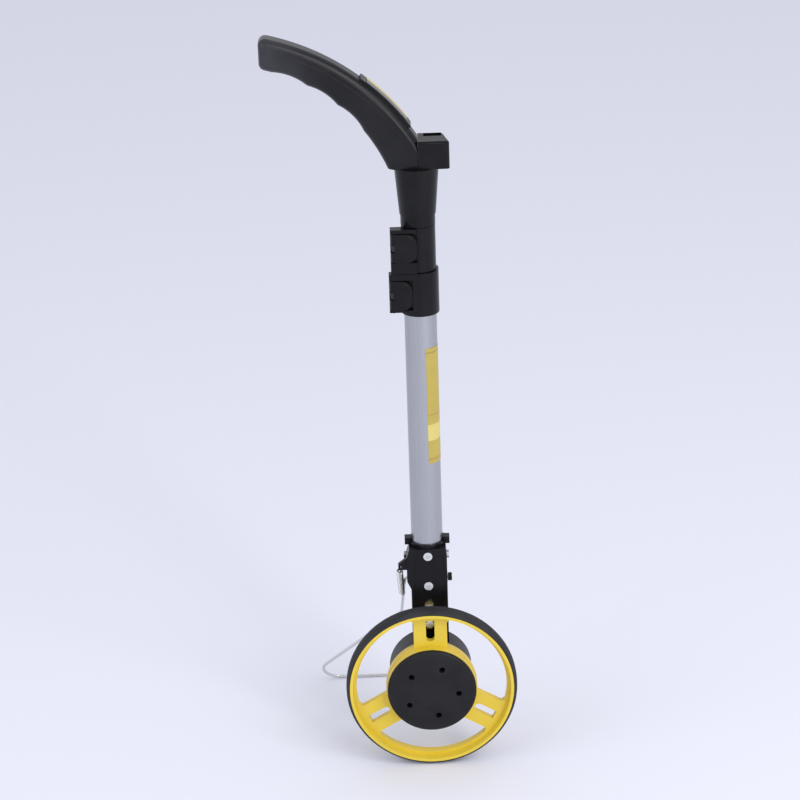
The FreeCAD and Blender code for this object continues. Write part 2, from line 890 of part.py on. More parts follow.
make_reset_button()
finish(
    tube(
        "ResetSpring", "y", 3.2, 2.2, "drum_back - drum_front - 2 * drum_wall - 2.0",
        reset_x, "drum_front + drum_wall", reset_z,
    ),
    "reset_spring",
)

# ---- bracket ---------------------------------------------------------------------------------------

bracket_screw_heights = ("screw_top", "screw_second", "screw_third", "screw_fourth")


def bracket_outline(left, low_left):
    # the front view of one half, wider on the left above a step
    return [
        ("bracket_half_width", "bracket_low"),
        ("bracket_half_width", "bracket_wide_high"),
        ("bracket_half_width - 1", "bracket_top"),
        (f"-{left} + 2.6", "bracket_top"),
        (f"-{left}", "bracket_wide_high - 2"),
        (f"-{left}", "bracket_wide_low + 8"),
        (f"-{low_left}", "bracket_wide_low"),
        (f"-{low_left}", "bracket_low"),
    ]


def bracket_collar(name, front, back):
    # half of the collar round the tube, with an ear on each side where the halves meet
    ring = rod(name + "Ring", "z", "collar_radius", "collar_top - collar_low", 0, "pole_depth", "collar_low")
    half = box(
        name + "Half",
        ("-collar_radius - 1", front, "collar_low"),
        ("collar_radius + 1", back, "collar_top"),
    )
    ears = []
    for side in (-1, 1):
        inner, outer = sorted((side * number("outer_radius"), side * number("ear_reach")))
        ears.append(
            box(
                f"{name}Ear{side + 1}",
                (inner, f"max({front}; pole_depth - ear_half_depth)", "ear_low"),
                (outer, f"min({back}; pole_depth + ear_half_depth)", "ear_high"),
            )
        )
    return [common(name + "Collar", ring, half), *ears]


def bracket_room(name):
    # what the bracket leaves room for: tube, drum, neck, hinge wire, bolt and screws
    depth = "screw_end - bracket_front + 2"
    room = [
        rod(name + "Bore", "z", "outer_radius + 0.05", 60, 0, "pole_depth", "outer_bottom"),
        rod(name + "Drum", "y", "drum_radius + 0.1", 60, 0, "bracket_front - 10", 0),
        box(
            name + "NeckRoom",
            ("-neck_half_width - 0.1", "pole_depth - 8.1", 30),
            ("neck_half_width + 0.1", "pole_depth + 3.1", "screw_third - 7.9"),
        ),
        rod(name + "Hinge", "x", "wire_radius + 0.1", 80, -40, "hinge_depth", "hinge_height"),
        rod(name + "Bolt", "x", "bolt_radius", 60, -30, "pole_depth", "bolt_height"),
    ]
    for row, height in enumerate(bracket_screw_heights):
        room.append(rod(f"{name}Screw{row}", "y", "screw_radius", depth, 0, "bracket_front - 1", height))
    return room


def make_bracket_front():
    middle = "pole_depth - split_gap / 2"
    plate = slab(
        "BracketFrontPlate", bracket_outline("bracket_left", "bracket_low_left"), "bracket_front", middle
    )
    # two shallow grooves run down the face beside its edges
    grooves = [
        box(
            f"FrontGroove{i}",
            (x, "bracket_front - 1", "bracket_low"),
            (f"{x} + 1", "bracket_front + 0.6", "bracket_wide_high"),
        )
        for i, x in enumerate(("-bracket_low_left + 3", "bracket_half_width - 4"))
    ]
    # an arm on the left holds the stand's spring by its eye
    lug = slab(
        "SpringLug",
        [
            ("-bracket_left + 1", "lug_low"),
            ("-lug_reach", "lug_low"),
            ("-lug_reach", "lug_low + lug_tip"),
            ("-bracket_left + 1", "lug_high"),
        ],
        "lug_front",
        "lug_back",
    )
    lug_eye = rod("LugEye", "y", 1.2, 30, "-lug_reach + eye_inset", "lug_front - 5", "lug_low + eye_inset")
    blank = fuse("BracketFrontBlank", plate, *bracket_collar("Front", "bracket_front", middle), lug)
    finish(cut("BracketFront", blank, *bracket_room("Front"), *grooves, lug_eye), "bracket_front")


make_bracket_front()


def make_bracket_rear():
    middle = "pole_depth + split_gap / 2"
    plate = slab(
        "BracketRearPlate",
        bracket_outline("bracket_half_width", "bracket_low_left"),
        middle,
        "bracket_back",
    )
    boss = rod(
        "HingeBoss", "x", "hinge_boss", "2 * boss_half_width",
        "-boss_half_width", "hinge_depth", "hinge_height",
    )
    # the tongue goes down behind the drum and carries the axle
    tongue = box(
        "Tongue",
        ("-tongue_half_width", "bracket_back - tongue_thickness", 0),
        ("tongue_half_width", "bracket_back", 50),
    )
    tongue_end = rod(
        "TongueEnd", "y", "tongue_half_width", "tongue_thickness", 0, "bracket_back - tongue_thickness", 0
    )
    axle_hole = rod("TongueHole", "y", "axle_radius", 40, 0, 40, 0)
    blank = fuse("RearBlank", plate, *bracket_collar("Rear", middle, "bracket_back"), boss)
    upper = cut("BracketRearUpper", blank, *bracket_room("Rear"))
    lower = cut("BracketRearLower", fuse("TongueBlank", tongue, tongue_end), axle_hole)
    finish(fuse("BracketRear", upper, lower), "bracket_rear")


make_bracket_rear()

screws = []
for i, height in enumerate(bracket_screw_heights):
    face = "(bracket_front - screw_head_height)"
    head = rod(f"BracketHead{i}", "y", "screw_head_radius", "screw_head_height", 0, face, height)
    shank = rod(
        f"BracketShank{i}", "y", "screw_radius", "screw_end - bracket_front", 0, "bracket_front", height
    )
    cross = [
        box(
            f"BracketCross{i}{way}",
            (f"-{wide}", f"{face} - 1", f"{height} - {tall}"),
            (wide, f"{face} + 1.1", f"{height} + {tall}"),
        )
        for way, (wide, tall) in enumerate(((2.2, 0.5), (0.5, 2.2)))
    ]
    screws.append(cut(f"BracketScrew{i}", fuse(f"BracketBlank{i}", head, shank), *cross))
group("bracket_screws", screws)


def make_cross_bolt():
    nut_thickness = 2.2
    left = f"(-bracket_left - {nut_thickness})"
    shank = rod(
        "BoltShank", "x", "bolt_radius", f"bracket_half_width - {left} + 0.4",
        f"{left} - 0.4", "pole_depth", "bolt_height",
    )
    head = rod("BoltHead", "x", 3.8, 2.2, "bracket_half_width", "pole_depth", "bolt_height")
    finish(fuse("CrossBolt", shank, head), "cross_bolt")
    prism = document.addObject("Part::Prism", "BoltNutPrism")
    prism.Polygon = 6
    prism.Placement = FreeCAD.Placement(Vector(), turns["x"])
    bind(prism, Circumradius=4.0, Height=nut_thickness)
    put(prism, left, "pole_depth", "bolt_height")
    bore = rod("BoltNutBore", "x", "bolt_radius", nut_thickness, left, "pole_depth", "bolt_height")
    finish(cut("CrossBoltNut", prism, bore), "cross_bolt_nut")


make_cross_bolt()

# ---- telescopic pole ---------------------------------------------------------------------------------


def make_outer_tube():
    wall = tube(
        "OuterWall", "z", "outer_radius", "outer_radius - tube_wall", "outer_top - outer_bottom",
        0, "pole_depth", "outer_bottom",
    )
    holes = [
        rod("TubeBoltHole", "x", "bolt_radius", 60, -30, "pole_depth", "bolt_height"),
        rod("TubeScrewHole", "y", "screw_radius", "pole_depth - 20", 0, 20, "screw_top"),
    ]
    finish(cut("OuterTube", wall, *holes), "outer_tube")


make_outer_tube()


def make_sliding_tube(node, radius, bottom, top):
    # the tube stands on a plastic bush that keeps it centred in the tube around it
    name = node.title().replace("_", "")
    wall = tube(
        name + "Wall", "z", radius, f"{radius} - tube_wall", f"{top} - {bottom}", 0, "pole_depth", bottom
    )
    if node == "inner_tube":
        depth = f"pole_depth + {radius} - 4"
        hole = rod(name + "RivetHole", "y", "rivet_radius", 30, 0, depth, "socket_bottom + rivet_rise")
        wall = cut(name, wall, hole)
    finish(wall, node)


def make_tube_bush(node, radius, bottom, around):
    name = node.title().replace("_", "")
    collar = rod(name + "Collar", "z", f"{around} - tube_wall - 0.1", 4, 0, "pole_depth", f"{bottom} - 4")
    plug = rod(name + "Plug", "z", f"{radius} - tube_wall", "bush_height - 4", 0, "pole_depth", bottom)
    hole = rod(
        name + "Hole", "z", f"{radius} - tube_wall - 2", "bush_height + 2", 0, "pole_depth", f"{bottom} - 5"
    )
    finish(cut(name, fuse(name + "Blank", collar, plug), hole), node)


make_sliding_tube("middle_tube", "middle_radius", "middle_bottom", "middle_top")
make_tube_bush("middle_tube_bush", "middle_radius", "middle_bottom", "outer_radius")
make_sliding_tube("inner_tube", "inner_radius", "inner_bottom", "inner_top")
make_tube_bush("inner_tube_bush", "inner_radius", "inner_bottom", "middle_radius")


def make_label():
    plates = []
    for part, radius in (("Outside", "outer_radius + label_thickness"), ("Inside", "outer_radius")):
        wedge = document.addObject("Part::Cylinder", "Label" + part)
        facing = FreeCAD.Rotation(Vector(0, 0, 1), number("label_start"))
        wedge.Placement = FreeCAD.Placement(Vector(), facing)
        bind(wedge, Radius=radius, Height="label_high - label_low", Angle="label_sweep")
        plates.append(put(wedge, 0, "pole_depth", "label_low"))
    finish(cut("TubeLabel", *plates), "tube_label")


make_label()

# ---- flip-lever clamps -------------------------------------------------------------------------------


def make_clamp(which, tube_radius, inner_tube_radius, tube_top):
    low, high = f"{which}_clamp_bottom", f"{which}_clamp_top"
    radius, reach = f"{which}_clamp_radius", f"{which}_clamp_reach"
    lever_low, lever_high = f"{which}_lever_low", f"{which}_lever_high"
    lever_end = f"{which}_lever_end"
    title = which.title()
    middle = f"(({lever_low} + {lever_high}) / 2)"
    pin_x = f"(-{reach} + knuckle_radius + 0.4)"
    pin_y = "(lever_front + knuckle_radius + 0.6)"
    pin_low, pin_length = f"{lever_low} - 3", f"{lever_high} - {lever_low} + 6"
    # the body: a ring round the tube, a cheek in front that carries the lever, an ear behind it
    ring = rod(title + "Ring", "z", radius, f"{high} - {low}", 0, "pole_depth", low)
    cheek = box(
        title + "Cheek",
        (f"-{reach}", "clamp_front", f"{which}_cheek_bottom"),
        ("-2", "clamp_cheek_back", high),
    )
    ear = box(
        title + "Ear",
        (f"-{reach} + 2", "clamp_cheek_back", f"{middle} - clamp_ear_half"),
        ("-5", "clamp_rear", f"{middle} + clamp_ear_half"),
    )
    bore = rod(title + "Bore", "z", f"{inner_tube_radius} + 0.3", 60, 0, "pole_depth", f"{low} - 1")
    seat = rod(title + "Seat", "z", tube_radius, f"{tube_top} - {low} + 1", 0, "pole_depth", f"{low} - 1")
    bay = box(
        title + "Bay",
        (f"-{reach} - 1", "clamp_front - 5", f"{lever_low} - lever_gap"),
        (f"{lever_end} + lever_gap", "lever_back + lever_gap", f"{lever_high} + lever_gap"),
    )
    knuckle_bay = rod(
        title + "KnuckleBay", "z", "knuckle_radius + lever_gap",
        f"{lever_high} - {lever_low} + 2 * lever_gap", pin_x, pin_y, f"{lever_low} - lever_gap",
    )
    side_bay = box(
        title + "SideBay",
        (f"-{reach} - 1", "clamp_front - 5", f"{lever_low} - lever_gap"),
        (pin_x, f"{pin_y} + knuckle_radius + lever_gap", f"{lever_high} + lever_gap"),
    )
    slit = box(
        title + "Slit",
        (f"-{reach} - 1", "pole_depth - clamp_slit / 2", f"{low} - 1"),
        ("-5", "pole_depth + clamp_slit / 2", f"{high} + 1"),
    )
    pin_hole = rod(title + "PinHole", "z", "pin_radius", pin_length, pin_x, pin_y, pin_low)
    bolt_hole = rod(title + "BoltHole", "y", 1.7, 60, pin_x, pin_y, middle)
    finish(
        cut(
            title + "Clamp", fuse(title + "Blank", ring, cheek, ear),
            bore, seat, bay, knuckle_bay, side_bay, slit, pin_hole, bolt_hole,
        ),
        f"{which}_clamp",
    )
    finish(
        rod(title + "LeverPin", "z", "pin_radius", pin_length, pin_x, pin_y, pin_low),
        f"{which}_lever_pin",
    )
    # the eye bolt pulls the two jaws together when the lever closes
    eye = rod(title + "Eye", "z", "eye_radius", 5.6, pin_x, pin_y, f"{middle} - 2.8")
    shank = rod(title + "EyeShank", "y", 1.6, f"clamp_rear + 3 - {pin_y}", pin_x, pin_y, middle)
    eye_nut = rod(title + "EyeNut", "y", 3.2, 2.4, pin_x, "clamp_rear", middle)
    eye_hole = rod(title + "EyeHole", "z", "pin_radius", 8, pin_x, pin_y, f"{middle} - 4")
    bolt = fuse(title + "EyeBlank", eye, shank, eye_nut)
    finish(cut(title + "EyeBolt", bolt, eye_hole), f"{which}_eye_bolt")
    # the lever: a D-shaped plate on a knuckle, hollowed behind its face for the eye
    plate = rounded(
        title + "PlateRounded",
        box(title + "Plate", (pin_x, "lever_front", lever_low), (lever_end, "lever_back", lever_high)),
        "lever_corner",
        lambda edge: along(edge, Vector(0, 1, 0)) and edge.CenterOfMass.x > number(lever_end) - 1,
    )
    knuckle = rod(
        title + "Knuckle", "z", "knuckle_radius", f"{lever_high} - {lever_low}", pin_x, pin_y, lever_low
    )
    eye_room = box(
        title + "EyeRoom",
        (f"-{reach} - 1", "lever_front + lever_skin", f"{middle} - knuckle_gap / 2"),
        (f"{pin_x} + knuckle_radius + 1.2", "clamp_rear", f"{middle} + knuckle_gap / 2"),
    )
    # beside the pin the gap is open to the front, so the opening lever swings clear of the eye bolt
    swing_room = box(
        title + "SwingRoom",
        (f"-{reach} - 1", "lever_front - 1", f"{middle} - knuckle_gap / 2"),
        (pin_x, "clamp_rear", f"{middle} + knuckle_gap / 2"),
    )
    pin_bore = rod(
        title + "LeverBore", "z", "pin_radius + 0.08", f"{lever_high} - {lever_low} + 2",
        pin_x, pin_y, f"{lever_low} - 1",
    )
    blank = fuse(title + "LeverBlank", plate, knuckle)
    finish(cut(title + "Lever", blank, eye_room, swing_room, pin_bore), f"{which}_lever")


make_clamp("lower", "outer_radius", "middle_radius", "outer_top")
make_clamp("upper", "middle_radius", "inner_radius", "middle_top")

# ---- handle --------------------------------------------------------------------------------------------


def make_handle_socket():
    depth, rivet_height = "pole_depth", "socket_bottom + rivet_rise"
    foot = rod(
        "SocketFoot", "z", "socket_bottom_radius", "socket_step - socket_bottom", 0, depth, "socket_bottom"
    )
    body = cone(
        "SocketCone", "socket_step_radius", "socket_top_radius", "socket_top - socket_step",
        0, depth, "socket_step",
    )
    bore = rod("SocketBore", "z", "inner_radius", "inner_top - socket_bottom", 0, depth, "socket_bottom")
    rivet = rod("SocketRivetHole", "y", "rivet_radius", 30, 0, "pole_depth + inner_radius - 4", rivet_height)
    finish(cut("HandleSocket", fuse("SocketBlank", foot, body), bore, rivet), "handle_socket")
    # a hollow rivet holds the socket on the tube from behind
    shank = tube(
        "RivetShank", "y", "rivet_radius", "rivet_radius / 2", "socket_step_radius - inner_radius + 4.6",
        0, "pole_depth + inner_radius - 3", rivet_height,
    )
    finish(shank, "socket_rivet")


make_handle_socket()


def make_head_block():
    # seen from above the right side slants in towards the back
    block = new_body("BlockBody")
    pad = block.newObject("PartDesign::Pad", "BlockPad")
    pad.Profile = outline(
        block,
        "BlockPlan",
        "XY_Plane",
        [
            ("block_left", "pole_depth - block_half_depth"),
            ("block_right", "pole_depth - block_half_depth"),
            ("block_back_right", "pole_depth + block_half_depth"),
            ("block_left", "pole_depth + block_half_depth"),
        ],
        "socket_top",
    )
    bind(pad, Length="block_top - socket_top")
    blank = rounded(
        "BlockRounded", block, "block_corner",
        lambda edge: along(edge, Vector(0, 0, 1)) and edge.CenterOfMass.x > number("block_left") + 5,
    )
    document.recompute()
    top = number("block_top")
    bevel = number("block_chamfer")
    chamfer = document.addObject("Part::Chamfer", "BlockChamfer")
    chamfer.Base = blank
    chamfer.Edges = [
        (i, bevel, bevel)
        for i, edge in enumerate(blank.Shape.Edges, start=1)
        if abs(edge.BoundBox.ZMin - top) < 1e-6 and edge.BoundBox.XMax > number("block_left") + 1
    ]
    hole = box(
        "BlockPocket",
        ("pocket_left", "pocket_front", "block_top - pocket_depth"),
        ("pocket_right", "pocket_back", "block_top + 1"),
    )
    middle, across = "(pocket_left + pocket_right) / 2", "(pocket_front + pocket_back) / 2"
    seat = "(block_top - pocket_depth)"
    screw = rod("BlockScrewHole", "z", "block_screw_radius", 60, middle, across, "socket_top - 3")
    finish(cut("HeadBlock", chamfer, hole, screw), "head_block")
    head = rod("BlockScrewHead", "z", "2 * block_screw_radius", 2, middle, across, seat)
    shank = rod(
        "BlockScrewShank", "z", "block_screw_radius", f"{seat} - socket_top", middle, across, "socket_top"
    )
    finish(fuse("BlockScrew", head, shank), "head_block_screw")


make_head_block()


def grip_screw_places():
    return [
        polar(
            "grip_screw_circle", f"grip_screw_first + {i} * grip_screw_step",
            "grip_centre_x", "grip_centre_z",
        )
        for i in range(int(number("grip_screw_count")))
    ]


def make_grip_half(which, front, back, outer_face, wall_front, wall_back):
    # a bent bar that gets thinner towards its end, with finger grooves below, hollow inside
    title = "Grip" + which.title()
    depth = f"({back}) - ({front})"
    above = rod(title + "Above", "y", "grip_outer", depth, "grip_centre_x", front, "grip_centre_z")
    below = rod(title + "Below", "y", "grip_inner", depth, "palm_centre_x", front, "palm_centre_z")
    frame = box(
        title + "Frame",
        ("-grip_reach", front, "socket_top"),
        ("grip_right", back, "grip_centre_z + grip_outer + 5"),
    )
    grooves = []
    for i in range(int(number("groove_count"))):
        x, z = polar(
            "grip_inner + groove_depth - groove_radius", f"groove_first + {i} * groove_step",
            "palm_centre_x", "palm_centre_z",
        )
        grooves.append(rod(f"{title}Groove{i}", "y", "groove_radius", depth, x, front, z))
    bar = cut(title + "Grooved", common(title + "Bar", above, frame), below, *grooves)
    document.recompute()
    face = number(outer_face)
    left = -number("grip_reach")
    bar = rounded(
        title + "End", bar, "grip_end_radius",
        lambda edge: along(edge, Vector(0, 1, 0)) and abs(edge.CenterOfMass.x - left) < 0.1,
    )
    bar = rounded(
        title + "Soft", bar, "grip_rounding",
        lambda edge: abs(edge.BoundBox.YMin - face) < 1e-6
        and abs(edge.BoundBox.YMax - face) < 1e-6
        and edge.CenterOfMass.x < number("grip_right") - 0.1
        and edge.CenterOfMass.z > number("socket_top") + 0.1,
    )
    hollow_depth = f"({wall_back}) - ({wall_front})"
    core = rod(
        title + "Core", "y", "grip_outer - grip_wall - 1", hollow_depth,
        "grip_centre_x", wall_front, "grip_centre_z",
    )
    palm = rod(
        title + "Palm", "y", "grip_inner + groove_depth + grip_wall", hollow_depth,
        "palm_centre_x", wall_front, "palm_centre_z",
    )
    room = box(
        title + "Room",
        ("-grip_reach + grip_wall + 2", wall_front, "socket_top + grip_wall + 6"),
        ("grip_right - grip_wall - 4", wall_back, "grip_centre_z + grip_outer"),
    )
    posts = [
        rod(f"{title}Post{i}", "y", "grip_post_radius", depth, x, front, z)
        for i, (x, z) in enumerate(grip_screw_places())
    ]
    space = cut(title + "Space", common(title + "Inside", core, room), palm, *posts)
    # the panel on the back of the hand lies in a shallow seat
    seat = sector(
        title + "Seat", "grip_outer + 5", "grip_outer - panel_seat", "2 * panel_half_width",
        "pole_depth - panel_half_width", "panel_start", "panel_sweep", "grip_centre_x", "grip_centre_z",
    )
    holes = [
        rod(f"{title}Screw{i}", "y", "grip_screw_radius", "grip_half_width + 6", x, "pole_depth - 6", z)
        for i, (x, z) in enumerate(grip_screw_places())
    ]
    if which == "rear":
        sink = "pole_depth + grip_half_width - grip_screw_sink"
        holes += [
            rod(f"{title}Sink{i}", "y", "2 * grip_screw_radius", 5, x, sink, z)
            for i, (x, z) in enumerate(grip_screw_places())
        ]
    finish(cut(title, bar, space, seat, *holes), "grip_" + which)


make_grip_half(
    "front", "pole_depth - grip_half_width", "pole_depth - 0.05", "pole_depth - grip_half_width",
    "pole_depth - grip_half_width + grip_wall", "pole_depth + 1",
)
make_grip_half(
    "rear", "pole_depth + 0.05", "pole_depth + grip_half_width", "pole_depth + grip_half_width",
    "pole_depth - 1", "pole_depth + grip_half_width - grip_wall",
)

screws = []
for i, (x, z) in enumerate(grip_screw_places()):
    seat = "(pole_depth + grip_half_width - grip_screw_sink)"
    head = rod(f"GripHead{i}", "y", "2 * grip_screw_radius - 0.2", 1.9, x, seat, z)
    shank = rod(
        f"GripShank{i}", "y", "grip_screw_radius", f"{seat} - pole_depth + 6", x, "pole_depth - 6", z
    )
    slot = box(
        f"GripDrive{i}",
        (f"{x} - 1.8", f"{seat} + 1", f"{z} - 0.4"),
        (f"{x} + 1.8", f"{seat} + 3", f"{z} + 0.4"),
    )
    screws.append(cut(f"GripScrew{i}", fuse(f"GripScrewBlank{i}", head, shank), slot))
group("grip_screws", screws)

finish(
    sector(
        "GripPanel", "grip_outer + panel_rise", "grip_outer - panel_seat", "2 * panel_half_width",
        "pole_depth - panel_half_width", "panel_start", "panel_sweep", "grip_centre_x", "grip_centre_z",
    ),
    "grip_panel",
)
finish(
    sector(
        "PanelPlate", "grip_outer + panel_rise + plate_thickness", "grip_outer + panel_rise",
        "2 * (panel_half_width - plate_margin)", "pole_depth - panel_half_width + plate_margin",
        "panel_start + plate_inset", "panel_sweep - 2 * plate_inset", "grip_centre_x", "grip_centre_z",
    ),
    "panel_plate",
)

# ---- folding stand -----------------------------------------------------------------------------------


def make_stand_wire():
    # one bent wire in the plane through the hinge and the floor line: each corner is a place
    # across X and a distance along the slope
    drop = number("hinge_height + tyre_radius - wire_radius")
    back = number("stand_foot_depth - hinge_depth")
    slope = math.hypot(drop, back)
    down = Vector(0, back / slope, -drop / slope)
    hinge = Vector(0, number("hinge_depth"), number("hinge_height"))
    corners = [
        ("hinge_end", 0, None),
        ("stand_leg_top", 0, "stand_top_radius"),
        ("stand_leg_bend", number("stand_bend_along"), "stand_bend_radius"),
        ("stand_corner", slope, "stand_corner_radius"),
        ("stand_foot_end", slope, None),
    ]
    places = [hinge + Vector(number(x), 0, 0) + down * distance for x, distance, bend in corners]
    edges = []
    start = places[0]
    bends = [bend for _, _, bend in corners[1:]]
    for before, place, after, bend in zip(places, places[1:], places[2:], bends):
        one = (before - place) / before.distanceToPoint(place)
        two = (after - place) / after.distanceToPoint(place)
        half = one.getAngle(two) / 2
        reach = number(bend) / math.tan(half)
        bisector = (one + two) / (one + two).Length
        middle = bisector * (number(bend) / math.sin(half) - number(bend))
        first, last = place + one * reach, place + two * reach
        edges.append(Part.LineSegment(start, first).toShape())
        edges.append(Part.Arc(first, place + middle, last).toShape())
        start = last
    edges.append(Part.LineSegment(start, places[-1]).toShape())
    path = Part.Wire(edges)
    section = Part.Wire(Part.makeCircle(number("wire_radius"), places[0], Vector(1, 0, 0)))
    feature("StandWire", "stand_wire", path.makePipeShell([section], True, False))
    return hinge, down


hinge, down = make_stand_wire()

cap_start = "boss_half_width + 0.4"
cap = rod(
    "StandCapBlank", "x", "cap_radius", "hinge_end - boss_half_width",
    cap_start, "hinge_depth", "hinge_height",
)
cap_hole = rod(
    "StandCapHole", "x", "wire_radius", f"hinge_end - {cap_start}", cap_start, "hinge_depth", "hinge_height"
)
finish(cut("StandCap", cap, cap_hole), "stand_cap")


def make_stand_spring():
    # the spring is drawn between the arm's eye and the wire's leg, and lies in front of the leg
    top = Vector(
        -number("lug_reach") + number("spring_top_inset"),
        number("lug_front + lug_back") / 2,
        number("lug_low"),
    )
    before = Vector(0, down.z, -down.y) * number("spring_before")
    bottom = hinge + Vector(number("stand_leg_top") - number("spring_beside"), 0, 0) + before
    bottom += down * number("spring_anchor_along")
    reach = bottom - top
    start = top + reach * (number("spring_hook") / reach.Length)
    length = reach.Length - 2 * number("spring_hook")
    feature("StandSpring", "stand_spring", Part.makeCylinder(number("spring_radius"), length, start, reach))


make_stand_spring()

document.recompute()
for thing in document.Objects:
    if "Invalid" in thing.State or "Error" in thing.State:
        raise RuntimeError(f"{thing.Name} failed: {thing.State}")
for node, thing in node_names:
    if thing.Shape.isNull() or not thing.Shape.isValid():
        raise RuntimeError(f"{node} has no valid shape")

os.makedirs("parts", exist_ok=True)
for node, thing in node_names:
    thing.Shape.exportStep(f"parts/{node}.step")
print(len(node_names), "nodes written")
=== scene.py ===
import math
import bpy
from mathutils import Matrix, Vector


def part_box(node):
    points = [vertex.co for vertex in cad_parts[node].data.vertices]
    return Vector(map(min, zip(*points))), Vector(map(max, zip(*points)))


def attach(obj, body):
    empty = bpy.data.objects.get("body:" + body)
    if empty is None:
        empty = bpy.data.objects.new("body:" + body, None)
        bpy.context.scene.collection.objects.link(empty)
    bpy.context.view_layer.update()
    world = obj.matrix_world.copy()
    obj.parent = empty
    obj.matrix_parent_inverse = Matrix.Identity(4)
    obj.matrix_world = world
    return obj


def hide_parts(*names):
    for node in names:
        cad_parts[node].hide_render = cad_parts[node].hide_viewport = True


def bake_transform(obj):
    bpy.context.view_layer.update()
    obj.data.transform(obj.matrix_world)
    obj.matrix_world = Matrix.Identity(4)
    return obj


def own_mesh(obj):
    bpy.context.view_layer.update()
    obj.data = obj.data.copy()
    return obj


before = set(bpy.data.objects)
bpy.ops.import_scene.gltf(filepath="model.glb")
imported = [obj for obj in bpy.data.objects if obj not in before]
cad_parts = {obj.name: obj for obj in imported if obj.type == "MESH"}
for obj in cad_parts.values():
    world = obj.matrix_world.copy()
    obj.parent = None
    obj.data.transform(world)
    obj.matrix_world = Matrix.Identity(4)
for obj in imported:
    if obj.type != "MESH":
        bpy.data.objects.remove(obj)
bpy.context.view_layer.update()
print("measuring wheel: frame loaded,", len(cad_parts), "nodes")


def startFinish(name):
    finish = bpy.data.materials.new(name)
    finish.use_nodes = True
    tree = finish.node_tree
    tree.nodes.clear()
    output = tree.nodes.new("ShaderNodeOutputMaterial")
    shader = tree.nodes.new("ShaderNodeBsdfPrincipled")
    tree.links.new(shader.outputs["BSDF"], output.inputs["Surface"])
    return finish, tree, shader


def objectPlace(tree, scale=(1, 1, 1)):
    place = tree.nodes.new("ShaderNodeTexCoord")
    mapping = tree.nodes.new("ShaderNodeMapping")
    mapping.vector_type = "POINT"
    mapping.inputs["Scale"].default_value = scale
    tree.links.new(place.outputs["Object"], mapping.inputs["Vector"])
    return mapping.outputs["Vector"]


def noiseOf(tree, place, scale, detail, roughness=0.55):
    noise = tree.nodes.new("ShaderNodeTexNoise")
    noise.inputs["Scale"].default_value = scale
    noise.inputs["Detail"].default_value = detail
    noise.inputs["Roughness"].default_value = roughness
    tree.links.new(place, noise.inputs["Vector"])
    return noise.outputs["Fac"]


def spread(tree, value, low, high, toLow=0.0, toHigh=1.0):
    remap = tree.nodes.new("ShaderNodeMapRange")
    remap.inputs["From Min"].default_value = low
    remap.inputs["From Max"].default_value = high
    remap.inputs["To Min"].default_value = toLow
    remap.inputs["To Max"].default_value = toHigh
    tree.links.new(value, remap.inputs["Value"])
    return remap.outputs["Result"]


def feed(tree, socket, value):
    # a socket takes another node's result or a plain value
    if isinstance(value, bpy.types.NodeSocket):
        tree.links.new(value, socket)
    else:
        socket.default_value = value


def mixColour(tree, amount, first, second):
    mix = tree.nodes.new("ShaderNodeMix")
    mix.data_type = "RGBA"
    feed(tree, mix.inputs[0], amount)
    feed(tree, mix.inputs[6], first)  # 6, 7 and 2 are the node's colour sockets
    feed(tree, mix.inputs[7], second)
    return mix.outputs[2]


def calculate(tree, operation, first, second):
    step = tree.nodes.new("ShaderNodeMath")
    step.operation = operation
    feed(tree, step.inputs[0], first)
    feed(tree, step.inputs[1], second)
    return step.outputs[0]


def bumpFrom(tree, height, strength, distance, before=None):
    bump = tree.nodes.new("ShaderNodeBump")
    bump.inputs["Strength"].default_value = strength
    bump.inputs["Distance"].default_value = distance
    tree.links.new(height, bump.inputs["Height"])
    if before is not None:
        tree.links.new(before, bump.inputs["Normal"])
    return bump.outputs["Normal"]


def opaque(colour):
    return (*colour, 1.0)


plasticWear = {
    "cloudDetail": 4, "cloudShade": (0.35, 0.65), "cloudRough": (0.3, 0.7), "grainDetail": 2,
    "scuffStretch": (1.0, 0.6, 9.0), "scuffDetail": 6, "scuffBreak": 0.7, "scuffRange": (0.66, 0.74),
    "patchScale": 14, "patchDetail": 3, "patchRange": (0.48, 0.62),
    "dulling": 0.15, "scuffBump": 0.2, "scuffDepth": 0.00005}


def makePlastic(name, look):
    wear = plasticWear
    finish, tree, shader = startFinish(name)
    place = objectPlace(tree)
    cloud = noiseOf(tree, place, look["cloudScale"], wear["cloudDetail"])
    grain = noiseOf(tree, place, look["grainScale"], wear["grainDetail"])
    shade = spread(tree, cloud, *wear["cloudShade"])
    colour = mixColour(tree, shade, opaque(look["dark"]), opaque(look["light"]))
    # fine scuffs run a little across the piece, and only in patches
    drawn = objectPlace(tree, wear["scuffStretch"])
    scuff = noiseOf(tree, drawn, look["scuffScale"], wear["scuffDetail"], wear["scuffBreak"])
    patch = noiseOf(tree, place, wear["patchScale"], wear["patchDetail"])
    worn = calculate(tree, "MULTIPLY", spread(tree, scuff, *wear["scuffRange"]),
                     spread(tree, patch, *wear["patchRange"]))
    shown = calculate(tree, "MULTIPLY", worn, look["scuff"])
    colour = mixColour(tree, shown, colour, opaque(look["worn"]))
    tree.links.new(colour, shader.inputs["Base Color"])
    rough = spread(tree, cloud, *wear["cloudRough"], *look["rough"])
    rough = calculate(tree, "ADD", rough, calculate(tree, "MULTIPLY", worn, wear["dulling"]))
    tree.links.new(rough, shader.inputs["Roughness"])
    first = bumpFrom(tree, grain, look["bump"], look["depth"])
    second = bumpFrom(tree, worn, wear["scuffBump"], wear["scuffDepth"], first)
    tree.links.new(second, shader.inputs["Normal"])
    shader.inputs["Specular IOR Level"].default_value = look["gloss"]
    return finish


